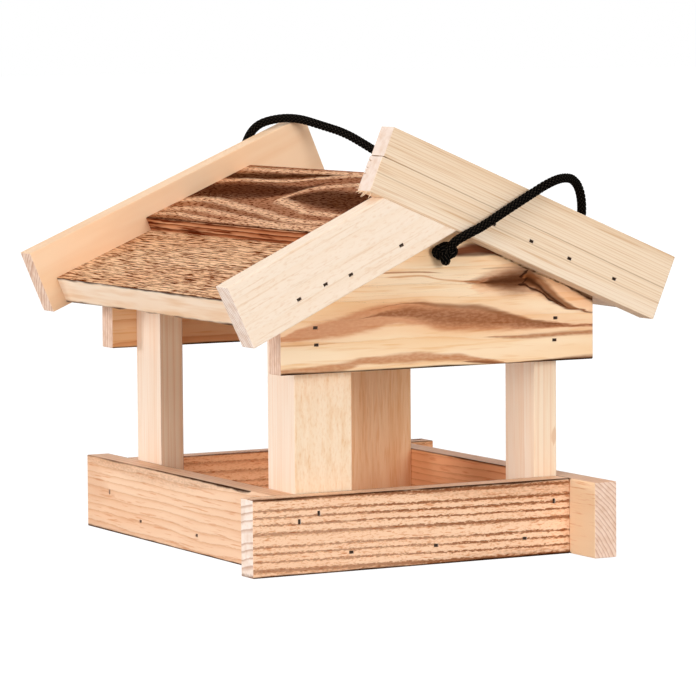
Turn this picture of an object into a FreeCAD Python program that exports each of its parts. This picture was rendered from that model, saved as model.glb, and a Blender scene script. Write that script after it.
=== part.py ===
import FreeCAD
import Part
import math
import os

# Hanging bird table nailed from pine boards: a tray, four posts, two gables and a pitched roof.
# Frame: origin at the middle of the tray's underside, +X along the front board, +Y to the back, +Z up.
# The object is the same after half a turn about Z, but for one post's width and the cord, so each back piece is a
# front piece turned round.
# Lengths are in millimetres, angles in degrees.

Vector = FreeCAD.Vector

# Boards
board_thick = 16.0  # tray boards, gables and barge boards
arris = 0.6  # eased edge on every board

# Tray: each board butts against the next one and runs past the one before, like a pinwheel
tray_inner_width = 188.0
tray_inner_depth = 225.0
tray_height = 48.0
front_board_overrun = 21.5  # front board past the left board, back board past the right board
side_board_overrun = 30.0  # right board past the front board, left board past the back board
floor_thick = 18.0

# Posts, standing on the floor in the corners of the tray
front_thick_post_width = 40.0
back_thick_post_width = 46.5
slim_post_width = 16.5
post_depth = 36.0
post_top_gap = 7.0  # square-cut top, below the roof at the post's outer edge

# Gables
gable_bottom = 123.0  # height of the gable's bottom edge, over the open space above the tray
gable_end_height = 41.5
gable_lap = 17.5  # gable past the posts, at each end

# Roof, measured from the peak where the undersides of the two slopes meet
roof_pitch = 23.0
lower_board_thick = 18.0
upper_board_thick = 27.0
upper_board_reach = 74.0  # down the slope, to the step between the boards
lower_board_width = 75.0

# Barge boards, on the ends of the roof boards
long_barge_width = 42.5
short_barge_width = 41.4
short_barge_pitch = 25.3  # nailed on a little steeper than the roof
long_barge_past_eave = 11.0
short_barge_past_eave = 5.0
long_barge_past_ridge = 62.0
long_barge_drop = 2.0  # lower edge, below the underside of the roof boards
short_barge_drop = 7.6  # at the step between the roof boards

# Brads: flat-headed wire nails, set below the surface
brad_length = 40.0
brad_wire = 1.6
brad_head_width = 3.0
brad_head_thick = 1.2
brad_set = 0.6
post_brad_left = (8.0, 37.3)  # in from the post's outer side, and height
post_brad_right = (11.8, 34.2)
gable_brads_left = ((6.6, 28.2), (7.2, 17.7))  # in from the post's outer side, and above the gable's bottom edge
gable_brads_right = ((10.3, 27.1), (11.1, 13.2))
corner_brad_front = (10.5, 33.0)  # in from the left board's outer face, and height
corner_brad_side = (5.2, 26.4)  # in from the back board's outer face, and height
floor_brad_height = 11.8
floor_brads_front = (-63.5, -3.6, 60.7)
floor_brads_side = (-90.0, -7.5, 75.6)
long_barge_brad_edge = 13.3  # above the barge board's lower edge
long_barge_brads = (-46.6, -17.2, 12.8, 48.6)  # down the barge board from the step
short_barge_brads = ((-37.0, 9.8), (2.0, 9.8), (20.0, 12.5), (40.0, 12.7))  # the same, and above the lower edge

# Cord and its knots
cord_diameter = 6.0
cord_hole_clearance = 0.5  # all round
cord_hole_below_peak = 19.0
knot_radius = 7.5
knot_depth = 13.0
knot_rounding = 3.5
cord_tail = 10.0  # loose end inside the gable, past its stopper knot

# Route of the cord between its two outer knots: over the front long barge board, down on the right slope,
# up over the back long barge board and down to the back gable. Each point is x, y as a share of the way to a
# gable's outer face, and the height above the roof's peak.
cord_route = (
    (0.5, -1.11, -11.2),
    (7.5, -1.166, -5.5),
    (17.5, -1.17, -1.4),
    (33.0, -1.166, 7.0),
    (52.0, -1.16, 16.9),
    (68.0, -1.15, 24.8),
    (84.0, -1.09, 27.5),
    (98.0, -1.012, 24.5),
    (106.0, -0.965, 14.2),
    (109.5, -0.922, -0.8),
    (110.5, -0.85, -12.3),
    (109.5, -0.77, -18.3),
    (107.0, -0.615, -21.3),
    (103.5, -0.436, -19.6),
    (99.0, -0.257, -15.8),
    (92.5, -0.086, -8.3),
    (84.5, 0.078, 3.2),
    (75.5, 0.233, 17.7),
    (66.0, 0.381, 31.7),
    (57.0, 0.529, 42.2),
    (50.0, 0.669, 50.7),
    (42.5, 0.825, 55.5),
    (33.0, 0.957, 60.5),
    (22.5, 1.066, 59.8),
    (13.0, 1.156, 54.7),
    (7.5, 1.195, 40.2),
    (4.0, 1.195, 22.2),
    (2.0, 1.191, 4.2),
    (0.5, 1.153, -11.4),
)
arc_share = 0.45  # part of the shorter run that each arc takes up

# Places worked out from the driving dimensions
half_width = tray_inner_width / 2
half_depth = tray_inner_depth / 2
outer_x = half_width + board_thick
outer_y = half_depth + board_thick
gable_half = half_width + gable_lap
pitch_sin = math.sin(math.radians(roof_pitch))
pitch_cos = math.cos(math.radians(roof_pitch))
pitch_tan = math.tan(math.radians(roof_pitch))
gable_end_top = gable_bottom + gable_end_height
peak = gable_end_top + gable_half * pitch_tan
post_top = peak - half_width * pitch_tan - post_top_gap
lower_board_reach = upper_board_reach + lower_board_width
short_barge_tilt = math.radians(short_barge_pitch - roof_pitch)
cord_height = peak - cord_hole_below_peak
cord_radius = cord_diameter / 2


def box(low, high):
    return Part.makeBox(high[0] - low[0], high[1] - low[1], high[2] - low[2], Vector(*low))


def prism(outline, y_low, y_high):
    """Extrude an outline of (x, z) points along Y."""
    corners = [Vector(x, y_low, z) for x, z in outline]
    face = Part.Face(Part.makePolygon(corners + corners[:1]))
    return face.extrude(Vector(0, y_high - y_low, 0))


def eased(board):
    return board.makeChamfer(arris, board.Edges)


def turned(shape):
    """The same shape after half a turn about Z."""
    copy = shape.copy()
    copy.rotate(Vector(0, 0, 0), Vector(0, 0, 1), 180)
    return copy


def on_slope(side, along, rise):
    """Point (x, z) down one slope from the peak; side is 1 for +X, rise is square to the slope."""
    x = side * (along * pitch_cos + rise * pitch_sin)
    z = peak - along * pitch_sin + rise * pitch_cos
    return x, z


# Tray


def tray_front_board():
    low = (-outer_x - front_board_overrun, -outer_y, 0)
    high = (half_width, -half_depth, tray_height)
    return eased(box(low, high))


def tray_left_board():
    low = (-outer_x, -half_depth, 0)
    high = (-half_width, outer_y + side_board_overrun, tray_height)
    return eased(box(low, high))


def tray_floor():
    low = (-half_width, -half_depth, 0)
    high = (half_width, half_depth, floor_thick)
    return eased(box(low, high))


# Posts


def front_post(x_low, x_high):
    low = (x_low, -half_depth, floor_thick)
    high = (x_high, -half_depth + post_depth, post_top)
    return eased(box(low, high))


# Gable with the cord's hole


def front_gable():
    outline = (
        (-gable_half, gable_bottom),
        (gable_half, gable_bottom),
        (gable_half, gable_end_top),
        (0, peak),
        (-gable_half, gable_end_top),
    )
    board = eased(prism(outline, -outer_y, -half_depth))
    hole_radius = cord_radius + cord_hole_clearance
    hole = Part.makeCylinder(hole_radius, board_thick, Vector(0, -outer_y, cord_height), Vector(0, 1, 0))
    return board.cut(hole)


# Roof boards of the right slope, lying on the gables, plumb-cut at the ridge


def lower_roof_board():
    outline = (
        on_slope(1, upper_board_reach, 0),
        on_slope(1, lower_board_reach, 0),
        on_slope(1, lower_board_reach, lower_board_thick),
        on_slope(1, upper_board_reach, lower_board_thick),
    )
    return eased(prism(outline, -outer_y, outer_y))


def upper_roof_board():
    outline = (
        (0, peak),
        on_slope(1, upper_board_reach, 0),
        on_slope(1, upper_board_reach, upper_board_thick),
        (0, peak + upper_board_thick / pitch_cos),
    )
    return eased(prism(outline, -outer_y, outer_y))


# Barge boards of the front: the long one on the right runs past the ridge, the short one is cut to its lower edge


def long_barge():
    low = -long_barge_drop
    high = long_barge_width - long_barge_drop
    eave = lower_board_reach + long_barge_past_eave
    outline = (
        on_slope(1, -long_barge_past_ridge, low),
        on_slope(1, eave, low),
        on_slope(1, eave, high),
        on_slope(1, -long_barge_past_ridge, high),
    )
    return eased(prism(outline, -outer_y - board_thick, -outer_y))


def on_short_barge(along, rise):
    """Point (x, z) on the short barge board, down its lower edge from the step, rise square to that edge."""
    down = upper_board_reach + along * math.cos(short_barge_tilt) + rise * math.sin(short_barge_tilt)
    up = rise * math.cos(short_barge_tilt) - along * math.sin(short_barge_tilt) - short_barge_drop
    return on_slope(-1, down, up)


def under_long_barge(rise):
    """How far down the short barge board a line at this rise meets the long barge board's lower edge."""
    x, z = on_short_barge(0, rise)
    below = x * pitch_sin + (z - peak) * pitch_cos + long_barge_drop
    return below / math.sin(math.radians(short_barge_pitch + roof_pitch))


def short_barge():
    eave = lower_board_width + short_barge_past_eave
    outline = (
        on_short_barge(under_long_barge(0), 0),
        on_short_barge(under_long_barge(short_barge_width), short_barge_width),
        on_short_barge(eave, short_barge_width),
        on_short_barge(eave, 0),
    )
    return eased(prism(outline, -outer_y - board_thick, -outer_y))


# Brads: each is a flat head on a square wire, driven inwards from a board's face


def brad_block(width, start, end):
    return box((-width / 2, -brad_wire / 2, start), (width / 2, brad_wire / 2, end))


def brad_body():
    head = brad_block(brad_head_width, brad_set, brad_set + brad_head_thick)
    wire = brad_block(brad_wire, brad_set + brad_head_thick, brad_length)
    return head.fuse(wire).removeSplitter()


def brad_pocket():
    """What a brad and the slot above its head take out of the boards."""
    slot = brad_block(brad_head_width, 0, brad_set + brad_head_thick)
    wire = brad_block(brad_wire, brad_set + brad_head_thick, brad_length)
    return slot.fuse(wire).removeSplitter()


def driven(shape, point, into, across):
    """Place a brad's shape with its length along into and its head's width along across."""
    placed = shape.copy()
    turn = FreeCAD.Rotation(across, into.cross(across), into, "ZXY")
    placed.Placement = FreeCAD.Placement(Vector(*point), turn)
    return placed


to_back = Vector(0, 1, 0)
to_right = Vector(1, 0, 0)
upward = Vector(0, 0, 1)


def gable_brad_places():
    for inset, rise in gable_brads_left:
        yield (-half_width + inset, -outer_y, gable_bottom + rise), to_back, to_right
    for inset, rise in gable_brads_right:
        yield (half_width - inset, -outer_y, gable_bottom + rise), to_back, to_right


def barge_brad_places():
    for offset in long_barge_brads:
        x, z = on_slope(1, upper_board_reach + offset, long_barge_brad_edge - long_barge_drop)
        yield (x, -outer_y - board_thick, z), to_back, Vector(pitch_cos, 0, -pitch_sin)
    steep = math.radians(short_barge_pitch)
    for offset, edge in short_barge_brads:
        x, z = on_short_barge(offset, edge)
        yield (x, -outer_y - board_thick, z), to_back, Vector(-math.cos(steep), 0, -math.sin(steep))


def corner_brad_places():
    inset, height = corner_brad_front
    yield (-outer_x + inset, -outer_y, height), to_back, upward
    inset, height = corner_brad_side
    yield (-outer_x, outer_y - inset, height), to_right, upward


def post_brad_places():
    inset, height = post_brad_left
    yield (-half_width + inset, -outer_y, height), to_back, upward
    inset, height = post_brad_right
    yield (half_width - inset, -outer_y, height), to_back, upward


def floor_brad_places():
    for x in floor_brads_front:
        yield (x, -outer_y, floor_brad_height), to_back, to_right
    for y in floor_brads_side:
        yield (-outer_x, y, floor_brad_height), to_right, to_back


def brads_and_pockets(places):
    brads = []
    pockets = []
    for point, into, across in places:
        brad = driven(brad_body(), point, into, across)
        pocket = driven(brad_pocket(), point, into, across)
        brads += [brad, turned(brad)]
        pockets += [pocket, turned(pocket)]
    return brads, pockets


def with_pockets(board, pockets):
    touching = [pocket for pocket in pockets if pocket.BoundBox.intersect(board.BoundBox)]
    return board.cut(touching) if touching else board


# Cord: straight runs joined by tangent arcs


def cord_edges(points):
    edges = []
    start = points[0]
    for before, corner, after in zip(points, points[1:], points[2:]):
        back = before - corner
        ahead = after - corner
        trim = arc_share * min(back.Length, ahead.Length)
        half_turn = (math.pi - back.getAngle(ahead)) / 2
        radius = trim / math.tan(half_turn)
        print("cord bend radius", round(radius, 1))
        back.normalize()
        ahead.normalize()
        inward = back + ahead
        inward.normalize()
        arc_start = corner + back * trim
        arc_end = corner + ahead * trim
        arc_middle = corner + inward * (radius / math.cos(half_turn) - radius)
        edges.append(Part.LineSegment(start, arc_start).toShape())
        edges.append(Part.Arc(arc_start, arc_middle, arc_end).toShape())
        start = arc_end
    edges.append(Part.LineSegment(start, points[-1]).toShape())
    return edges


def hanging_cord():
    knot_middle = outer_y + knot_depth / 2
    ends = (Vector(0, -knot_middle, cord_height), Vector(0, knot_middle, cord_height))
    route = [Vector(x, share * outer_y, peak + rise) for x, share, rise in cord_route]
    points = [ends[0]] + route + [ends[1]]
    path = Part.Wire(cord_edges(points))
    section = Part.Wire(Part.makeCircle(cord_radius, points[0], points[1] - points[0]))
    tube = Part.Solid(path.makePipeShell([section], True, False))
    print("cord length", round(path.Length, 1))
    print("cord volume against section times length", tube.Volume / (math.pi * cord_radius**2 * path.Length))
    return tube


def cord_stub(y_start, length):
    return Part.makeCylinder(cord_radius, length, Vector(0, y_start, cord_height), Vector(0, 1, 0))


def knot(y_start):
    """Plain round knot of the cord, its axis along the hole."""
    body = Part.makeCylinder(knot_radius, knot_depth, Vector(0, y_start, cord_height), Vector(0, 1, 0))
    rims = [edge for edge in body.Edges if isinstance(edge.Curve, Part.Circle)]
    return body.makeFillet(knot_rounding, rims)


def cord_ends():
    through_hole = cord_stub(-outer_y, board_thick)
    tail = cord_stub(-half_depth + knot_depth, cord_tail)
    return [through_hole, tail, turned(through_hole), turned(tail)]


def cord_knots(cord):
    outer = knot(-outer_y - knot_depth)
    stopper = knot(-half_depth)
    return [outer.cut(cord), turned(outer).cut(cord), stopper, turned(stopper)]


# Assembly


def assemble():
    boards = {}
    boards["tray_front_board"] = tray_front_board()
    boards["tray_back_board"] = turned(tray_front_board())
    boards["tray_left_board"] = tray_left_board()
    boards["tray_right_board"] = turned(tray_left_board())
    boards["tray_floor"] = tray_floor()
    slim_post = front_post(half_width - slim_post_width, half_width)
    boards["post_front_left"] = front_post(-half_width, -half_width + front_thick_post_width)
    boards["post_front_right"] = slim_post
    boards["post_back_left"] = turned(slim_post)
    boards["post_back_right"] = turned(front_post(-half_width, -half_width + back_thick_post_width))
    boards["gable_front"] = front_gable()
    boards["gable_back"] = turned(front_gable())
    boards["roof_lower_right"] = lower_roof_board()
    boards["roof_upper_right"] = upper_roof_board()
    boards["roof_lower_left"] = turned(lower_roof_board())
    boards["roof_upper_left"] = turned(upper_roof_board())
    boards["barge_front_long"] = long_barge()
    boards["barge_front_short"] = short_barge()
    boards["barge_back_long"] = turned(long_barge())
    boards["barge_back_short"] = turned(short_barge())

    groups = {
        "gable_brads": gable_brad_places(),
        "barge_brads": barge_brad_places(),
        "tray_corner_brads": corner_brad_places(),
        "post_brads": post_brad_places(),
        "floor_brads": floor_brad_places(),
    }
    nodes = {}
    all_pockets = []
    for name, places in groups.items():
        brads, pockets = brads_and_pockets(places)
        nodes[name] = Part.makeCompound(brads)
        all_pockets += pockets
    for name, board in boards.items():
        nodes[name] = with_pockets(board, all_pockets)

    cord = hanging_cord()
    nodes["hanging_cord"] = cord
    nodes["cord_ends"] = Part.makeCompound(cord_ends())
    nodes["cord_knots"] = Part.makeCompound(cord_knots(cord))
    return nodes


os.makedirs("parts", exist_ok=True)
for node_name, node_shape in assemble().items():
    node_shape.exportStep(os.path.join("parts", node_name + ".step"))
    print(node_name, len(node_shape.Solids), "solids", round(node_shape.Volume, 1), "mm3", node_shape.isValid())
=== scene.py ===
import math
import bpy
from mathutils import Matrix, Vector


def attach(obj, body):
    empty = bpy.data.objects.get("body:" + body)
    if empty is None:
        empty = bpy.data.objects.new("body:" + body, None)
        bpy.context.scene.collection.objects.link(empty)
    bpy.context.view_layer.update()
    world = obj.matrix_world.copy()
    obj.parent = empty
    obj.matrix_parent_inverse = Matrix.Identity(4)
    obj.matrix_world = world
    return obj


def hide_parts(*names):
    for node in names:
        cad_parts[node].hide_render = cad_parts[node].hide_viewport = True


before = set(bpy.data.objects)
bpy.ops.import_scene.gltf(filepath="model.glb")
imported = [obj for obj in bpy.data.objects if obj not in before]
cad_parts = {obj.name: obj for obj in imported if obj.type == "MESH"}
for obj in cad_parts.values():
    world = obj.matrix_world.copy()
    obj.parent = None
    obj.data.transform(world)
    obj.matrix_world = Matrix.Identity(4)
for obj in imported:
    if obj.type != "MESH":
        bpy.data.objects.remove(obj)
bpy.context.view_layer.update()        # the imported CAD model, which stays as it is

mm = 0.001
toRight = Vector((1, 0, 0))
toFront = Vector((0, -1, 0))
up = Vector((0, 0, 1))
print("frame loaded with", len(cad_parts), "nodes")

# Camera, found by fitting the edges of the boards
photoCamera = {
    "lookAt": (4.43, 0.0, 125.75),        # mm
    "distance": 2568.83,        # mm
    "yaw": 28.363,        # degrees to the right of straight ahead
    "pitch": 4.753,        # degrees down
    "roll": 0.407,
    "focalPixels": 3956.2,
    "framePixels": 696,
    "sensor": 36.0,        # mm
    "clip": (0.1, 100.0),        # m
}


def setUpCamera(s):
    yaw, pitch, roll = (math.radians(s[key]) for key in ("yaw", "pitch", "roll"))
    ahead = Vector((math.sin(yaw) * math.cos(pitch), math.cos(yaw) * math.cos(pitch), -math.sin(pitch)))
    level = Vector((math.cos(yaw), -math.sin(yaw), 0))
    plumb = ahead.cross(level)
    right = level * math.cos(roll) + plumb * math.sin(roll)
    down = plumb * math.cos(roll) - level * math.sin(roll)
    bpy.ops.object.camera_add()
    camera = bpy.context.object
    camera.name = "photoCamera"
    turn = Matrix((right, -down, -ahead)).transposed().to_4x4()
    camera.matrix_world = Matrix.Translation((Vector(s["lookAt"]) - ahead * s["distance"]) * mm) @ turn
    camera.data.sensor_width = s["sensor"]
    camera.data.lens = s["focalPixels"] / s["framePixels"] * s["sensor"]
    camera.data.clip_start, camera.data.clip_end = s["clip"]
    bpy.context.scene.camera = camera


setUpCamera(photoCamera)
print("camera set")


# Helpers for objects and nodes
def deselectAll():
    bpy.ops.object.select_all(action="DESELECT")


def pick(piece):
    deselectAll()
    piece.select_set(True)
    bpy.context.view_layer.objects.active = piece


def linear(hexColour):        # sRGB hex to the linear values that nodes take
    parts = [int(hexColour[i : i + 2], 16) / 255 for i in (1, 3, 5)]
    return [p / 12.92 if p <= 0.04045 else ((p + 0.055) / 1.055) ** 2.4 for p in parts] + [1.0]


def addNode(tree, kind, settings=None, links=None, out=0):        # a node with its settings and what feeds it
    node = tree.nodes.new("ShaderNode" + kind)
    for key, value in (settings or {}).items():
        if key == "ramp":        # list of place and hex colour
            elements = node.color_ramp.elements
            elements[0].position, elements[1].position = value[0][0], value[-1][0]
            elements[0].color, elements[1].color = linear(value[0][1]), linear(value[-1][1])
            for place, colour in value[1:-1]:
                elements.new(place).color = linear(colour)
        elif key == "curve":        # list of points
            points = node.mapping.curves[0].points
            points[0].location, points[1].location = value[0], value[-1]
            for point in value[1:-1]:
                points.new(*point)
            node.mapping.update()
        elif not isinstance(key, int) and hasattr(node, key):
            setattr(node, key, value)
        else:
            node.inputs[key].default_value = value
    for key, source in (links or {}).items():
        tree.links.new(source, node.inputs[key])
    return node.outputs[out] if node.outputs else node


def newTree(name):
    material = bpy.data.materials.new(name)
    material.use_nodes = True
    material.node_tree.nodes.clear()
    return material, material.node_tree


# Pine, the wood of all the boards. Its year rings are cylinders about a pith line, so that lines on faces,
# arches where a face grazes a ring and arcs on ends all belong to one trunk. Patterns read the attribute
# grain, which holds a board's own millimetres: along the grain, across the face and through the thickness.
pineWood = {
    "noiseSteps": (7.31, 3.17, 5.73),        # each numbered noise is moved on by this
    "layerNoise": 0,        # numbers of the first noise of each kind
    "swayNoise": 20,
    "frayNoise": 31,
    "spotNoise": 33,
    "arrisNoise": 40,
    "detail": 2.0,
    "yearChange": 0.45,        # how fast the width of the years changes from year to year
    "frayed": (9, 2.6),        # mm, the roughness of a band's rims
    "spots": (3.4, 1.3),        # mm, the pale spots in a band
    "spotRange": (0.38, 0.58),
    "drawn": (130.0, 50.0),        # mm from a board's middle that bands may reach, along and across
    "thinnest": 0.02,        # mm, half a band where it has run out
    "farOff": 1000,        # mm, past the end of every board
    "endSoot": (1.2, 3.0),        # mm, how far soot runs round a scorched end, and how much it adds there
    "ior": 1.5,
    "shine": 0.3,
    "shineRange": (0.04, 0.4),        # char is dull, and pale wood has a slight sheen
}


def streaks(tree, grain, size, detail, number):        # noise stretched along the grain, size in mm
    scale = (1 / size[0], 1 / size[1], 1 / size[-1])
    shift = [step * number for step in pineWood["noiseSteps"]]
    spot = addNode(tree, "VectorMath", {"operation": "MULTIPLY_ADD", 1: scale, 2: shift}, {0: grain})
    return addNode(tree, "TexNoise", {"Scale": 1.0, "Detail": detail}, {"Vector": spot})


def ringField(tree, grain, rings):        # how far through its year each point is, from 0 to 1
    tilt = [math.radians(angle) for angle in rings.get("tilt", (0, 0))]
    heart = (0, -rings["pith"][0], -rings["pith"][1])
    turn = {"Location": heart, "Rotation": (0, tilt[0], tilt[1])}
    trunk = addNode(tree, "Mapping", turn, {"Vector": grain})
    across = addNode(tree, "VectorMath", {"operation": "MULTIPLY", 1: (0, 1, 1)}, {0: trunk})
    radius = addNode(tree, "VectorMath", {"operation": "LENGTH"}, {0: across}, "Value")
    for number, (amount, size) in enumerate(rings["sway"]):
        noise = streaks(tree, grain, size, pineWood["detail"], pineWood["swayNoise"] + number)
        radius = addNode(tree, "Math", {"operation": "MULTIPLY_ADD", 1: amount}, {0: noise, 2: radius})
    years = addNode(tree, "Math", {"operation": "DIVIDE", 1: rings["width"]}, {0: radius})
    change = {"noise_dimensions": "1D", "Scale": pineWood["yearChange"], "Detail": 1.0}
    slow = addNode(tree, "TexNoise", change, {"W": years})
    years = addNode(tree, "Math", {"operation": "MULTIPLY_ADD", 1: rings["uneven"]}, {0: slow, 2: years})
    return addNode(tree, "Math", {"operation": "FRACT"}, {0: years})


def scorchBand(tree, grain, band, fray):        # a band drawn as points of along, across and half width
    far, wide = pineWood["drawn"]
    along, across = (addNode(tree, "SeparateXYZ", None, {0: grain}, axis) for axis in ("X", "Y"))
    share = addNode(tree, "MapRange", {"From Min": -far, "From Max": far}, {0: along})
    first, last = band["line"][0], band["line"][-1]
    drawn = [(-far, *first[1:])] + band["line"] + [(far, *last[1:])]
    line = [((x + far) / (2 * far), (y + wide) / (2 * wide)) for x, y, half in drawn]
    half = [((x + far) / (2 * far), half / (2 * wide)) for x, y, half in drawn]
    centre = addNode(tree, "FloatCurve", {"curve": line}, {1: share})
    reach = addNode(tree, "FloatCurve", {"curve": half}, {1: share})
    thin = pineWood["thinnest"]
    span = {"From Min": thin / (2 * wide), "To Min": thin, "To Max": 2 * wide}
    reach = addNode(tree, "MapRange", span, {0: reach})
    middle = addNode(tree, "MapRange", {"To Min": -wide, "To Max": wide}, {0: centre})
    rough = addNode(tree, "Math", {"operation": "MULTIPLY_ADD", 1: band["fray"]}, {0: fray, 2: across})
    rough = addNode(tree, "Math", {"operation": "SUBTRACT", 1: band["fray"] / 2}, {0: rough})
    off = addNode(tree, "Math", {"operation": "SUBTRACT"}, {0: rough, 1: middle})
    off = addNode(tree, "Math", {"operation": "ABSOLUTE"}, {0: off})
    off = addNode(tree, "Math", {"operation": "DIVIDE"}, {0: off, 1: reach})
    span = {"From Min": band["core"], "To Min": band["amount"], "To Max": 0.0}
    return addNode(tree, "MapRange", {**span, "interpolation_type": "SMOOTHSTEP"}, {"Value": off})


def scorchArris(tree, grain, arris):        # where the arrises are scorched, from 0 to 1
    off = pineWood["farOff"]
    end = arris.get("end", off)
    along = addNode(tree, "SeparateXYZ", None, {0: grain}, "X")
    size = addNode(tree, "VectorMath", {"operation": "ABSOLUTE"}, {0: grain})
    parts = [addNode(tree, "SeparateXYZ", None, {0: size}, axis) for axis in ("Y", "Z")]
    near = addNode(tree, "Math", {"operation": "ADD"}, {0: parts[0], 1: parts[1]})
    reach, strength = pineWood["endSoot"]
    past = {"From Min": end - reach, "From Max": end, "To Max": strength}
    past = addNode(tree, "MapRange", past, {"Value": along})
    mine = {"operation": "LESS_THAN", 1: pineWood["drawn"][0]}        # not on a twin, whose grain is moved on
    mine = addNode(tree, "Math", mine, {0: along})
    past = addNode(tree, "Math", {"operation": "MULTIPLY"}, {0: past, 1: mine})
    near = addNode(tree, "Math", {"operation": "ADD"}, {0: near, 1: past})
    patchy = streaks(tree, grain, arris["patch"], pineWood["detail"], pineWood["arrisNoise"])
    near = addNode(tree, "Math", {"operation": "MULTIPLY_ADD", 1: arris["uneven"]}, {0: patchy, 2: near})
    start = arris["reach"] + arris["uneven"] / 2
    span = {"From Min": start - arris["width"], "From Max": start, "To Max": arris["amount"]}
    mask = addNode(tree, "MapRange", span, {"Value": near})
    inside = addNode(tree, "Math", {"operation": "LESS_THAN", 1: arris.get("until", off)}, {0: along})
    return addNode(tree, "Math", {"operation": "MULTIPLY"}, {0: mask, 1: inside})


# A look has rings (place of the pith, width of a year and sways in mm, each sway with the size of its noise),
# colours from early to late wood, bands (line, core of full colour, fray of the rims in mm, amount), layers
# that darken the wood in streaks, a scorched arris (reach is across plus through, in mm) and relief in mm.
def pine(name, look):
    material, tree = newTree(name)
    detail = pineWood["detail"]
    grain = addNode(tree, "Attribute", {"attribute_name": "grain"}, None, "Vector")
    ring = ringField(tree, grain, look["rings"])
    wood = addNode(tree, "ValToRGB", {"ramp": look["ringColours"]}, {0: ring})
    relief = addNode(tree, "Math", {"operation": "MULTIPLY", 1: look["ringRelief"]}, {0: ring})
    fray = streaks(tree, grain, look.get("frayed", pineWood["frayed"]), detail, pineWood["frayNoise"])
    spots = streaks(tree, grain, pineWood["spots"], detail, pineWood["spotNoise"])
    low, high = pineWood["spotRange"]
    # Sockets 6 and 7 and output 2 of a Mix node are its colours
    for band in look.get("bands", ()):        # scorched or pale bands
        mask = scorchBand(tree, grain, band, fray)
        span = {"From Min": low, "From Max": high, "To Min": 1 - band.get("mottle", 0.0)}
        patchy = addNode(tree, "MapRange", span, {"Value": spots})
        mask = addNode(tree, "Math", {"operation": "MULTIPLY"}, {0: mask, 1: patchy})
        blend = {"data_type": "RGBA", 7: linear(band["colour"])}
        wood = addNode(tree, "Mix", blend, {0: mask, 6: wood}, 2)
    for number, layer in enumerate(look["layers"], pineWood["layerNoise"]):        # streaks and dashes
        noise = streaks(tree, grain, layer["size"], layer.get("detail", detail), number)
        tone = addNode(tree, "ValToRGB", {"ramp": layer["ramp"]}, {0: noise})
        blend = {"data_type": "RGBA", "blend_type": "MULTIPLY", 0: 1.0}
        wood = addNode(tree, "Mix", blend, {6: wood, 7: tone}, 2)
        lift = {"operation": "MULTIPLY_ADD", 1: layer.get("relief", 0.0)}
        relief = addNode(tree, "Math", lift, {0: noise, 2: relief})
    if "arris" in look:
        blend = {"data_type": "RGBA", 7: linear(look["arris"]["colour"])}
        wood = addNode(tree, "Mix", blend, {0: scorchArris(tree, grain, look["arris"]), 6: wood}, 2)
    bump = addNode(tree, "Bump", {"Distance": look["relief"] * mm}, {"Height": relief})
    low, high = pineWood["shineRange"]
    span = {"From Min": low, "From Max": high, "To Max": pineWood["shine"]}
    shine = addNode(tree, "MapRange", span, {"Value": wood})
    gloss = {"Roughness": look["roughness"], "IOR": pineWood["ior"]}
    feeds = {"Base Color": wood, "Normal": bump, "Specular IOR Level": shine}
    shader = addNode(tree, "BsdfPrincipled", gloss, feeds)
    addNode(tree, "OutputMaterial", None, {"Surface": shader})
    return material


# Boards are sawn as blocks at the origin, grain along X, cut, eased and nailed there, and then set in place
def sawBoard(board):
    deselectAll()
    bpy.ops.mesh.primitive_cube_add(size=1, scale=[side * mm for side in board["size"]])
    piece = bpy.context.object
    piece.name = board["name"]
    piece.data.name = board["name"]
    bpy.ops.object.transform_apply(location=False, rotation=False, scale=True)
    return piece


def placeOf(board):        # where the block's axes and middle go
    along, across = board["along"], board["across"]
    turn = Matrix((along, across, along.cross(across))).transposed().to_4x4()
    return Matrix.Translation(Vector(board["centre"]) * mm) @ turn


def crossCut(piece, place, point, normal):        # saw off what lies on the normal's side of a plane
    pick(piece)
    bpy.ops.object.mode_set(mode="EDIT")
    bpy.ops.mesh.select_all(action="SELECT")
    spot = place.inverted() @ (Vector(point) * mm)
    facing = place.to_3x3().transposed() @ Vector(normal)
    bpy.ops.mesh.bisect(plane_co=spot, plane_no=facing, clear_outer=True, use_fill=True)
    bpy.ops.object.mode_set(mode="OBJECT")


arrises = {"width": 0.6, "sharper": 30, "facets": 2}        # mm, and degrees past which an edge is eased


def easeArrises(piece):
    pick(piece)
    bpy.ops.object.mode_set(mode="EDIT")
    bpy.ops.mesh.select_mode(type="EDGE")
    bpy.ops.mesh.select_all(action="DESELECT")
    bpy.ops.mesh.edges_select_sharp(sharpness=math.radians(arrises["sharper"]))
    width = arrises["width"] * mm
    bpy.ops.mesh.bevel(offset=width, segments=arrises["facets"], affect="EDGES", clamp_overlap=True)
    bpy.ops.object.mode_set(mode="OBJECT")


def combine(piece, other, operation="DIFFERENCE"):        # take the other shape out, or unite the two
    pick(piece)
    change = piece.modifiers.new("change", "BOOLEAN")
    change.operation = operation
    change.solver = "EXACT"
    change.object = other
    bpy.ops.object.modifier_apply(modifier="change")
    bpy.data.objects.remove(other)


bradSlot = {"long": 3.2, "wide": 2.0, "deep": 2.0}        # mm, a little larger than the brad's head


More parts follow.
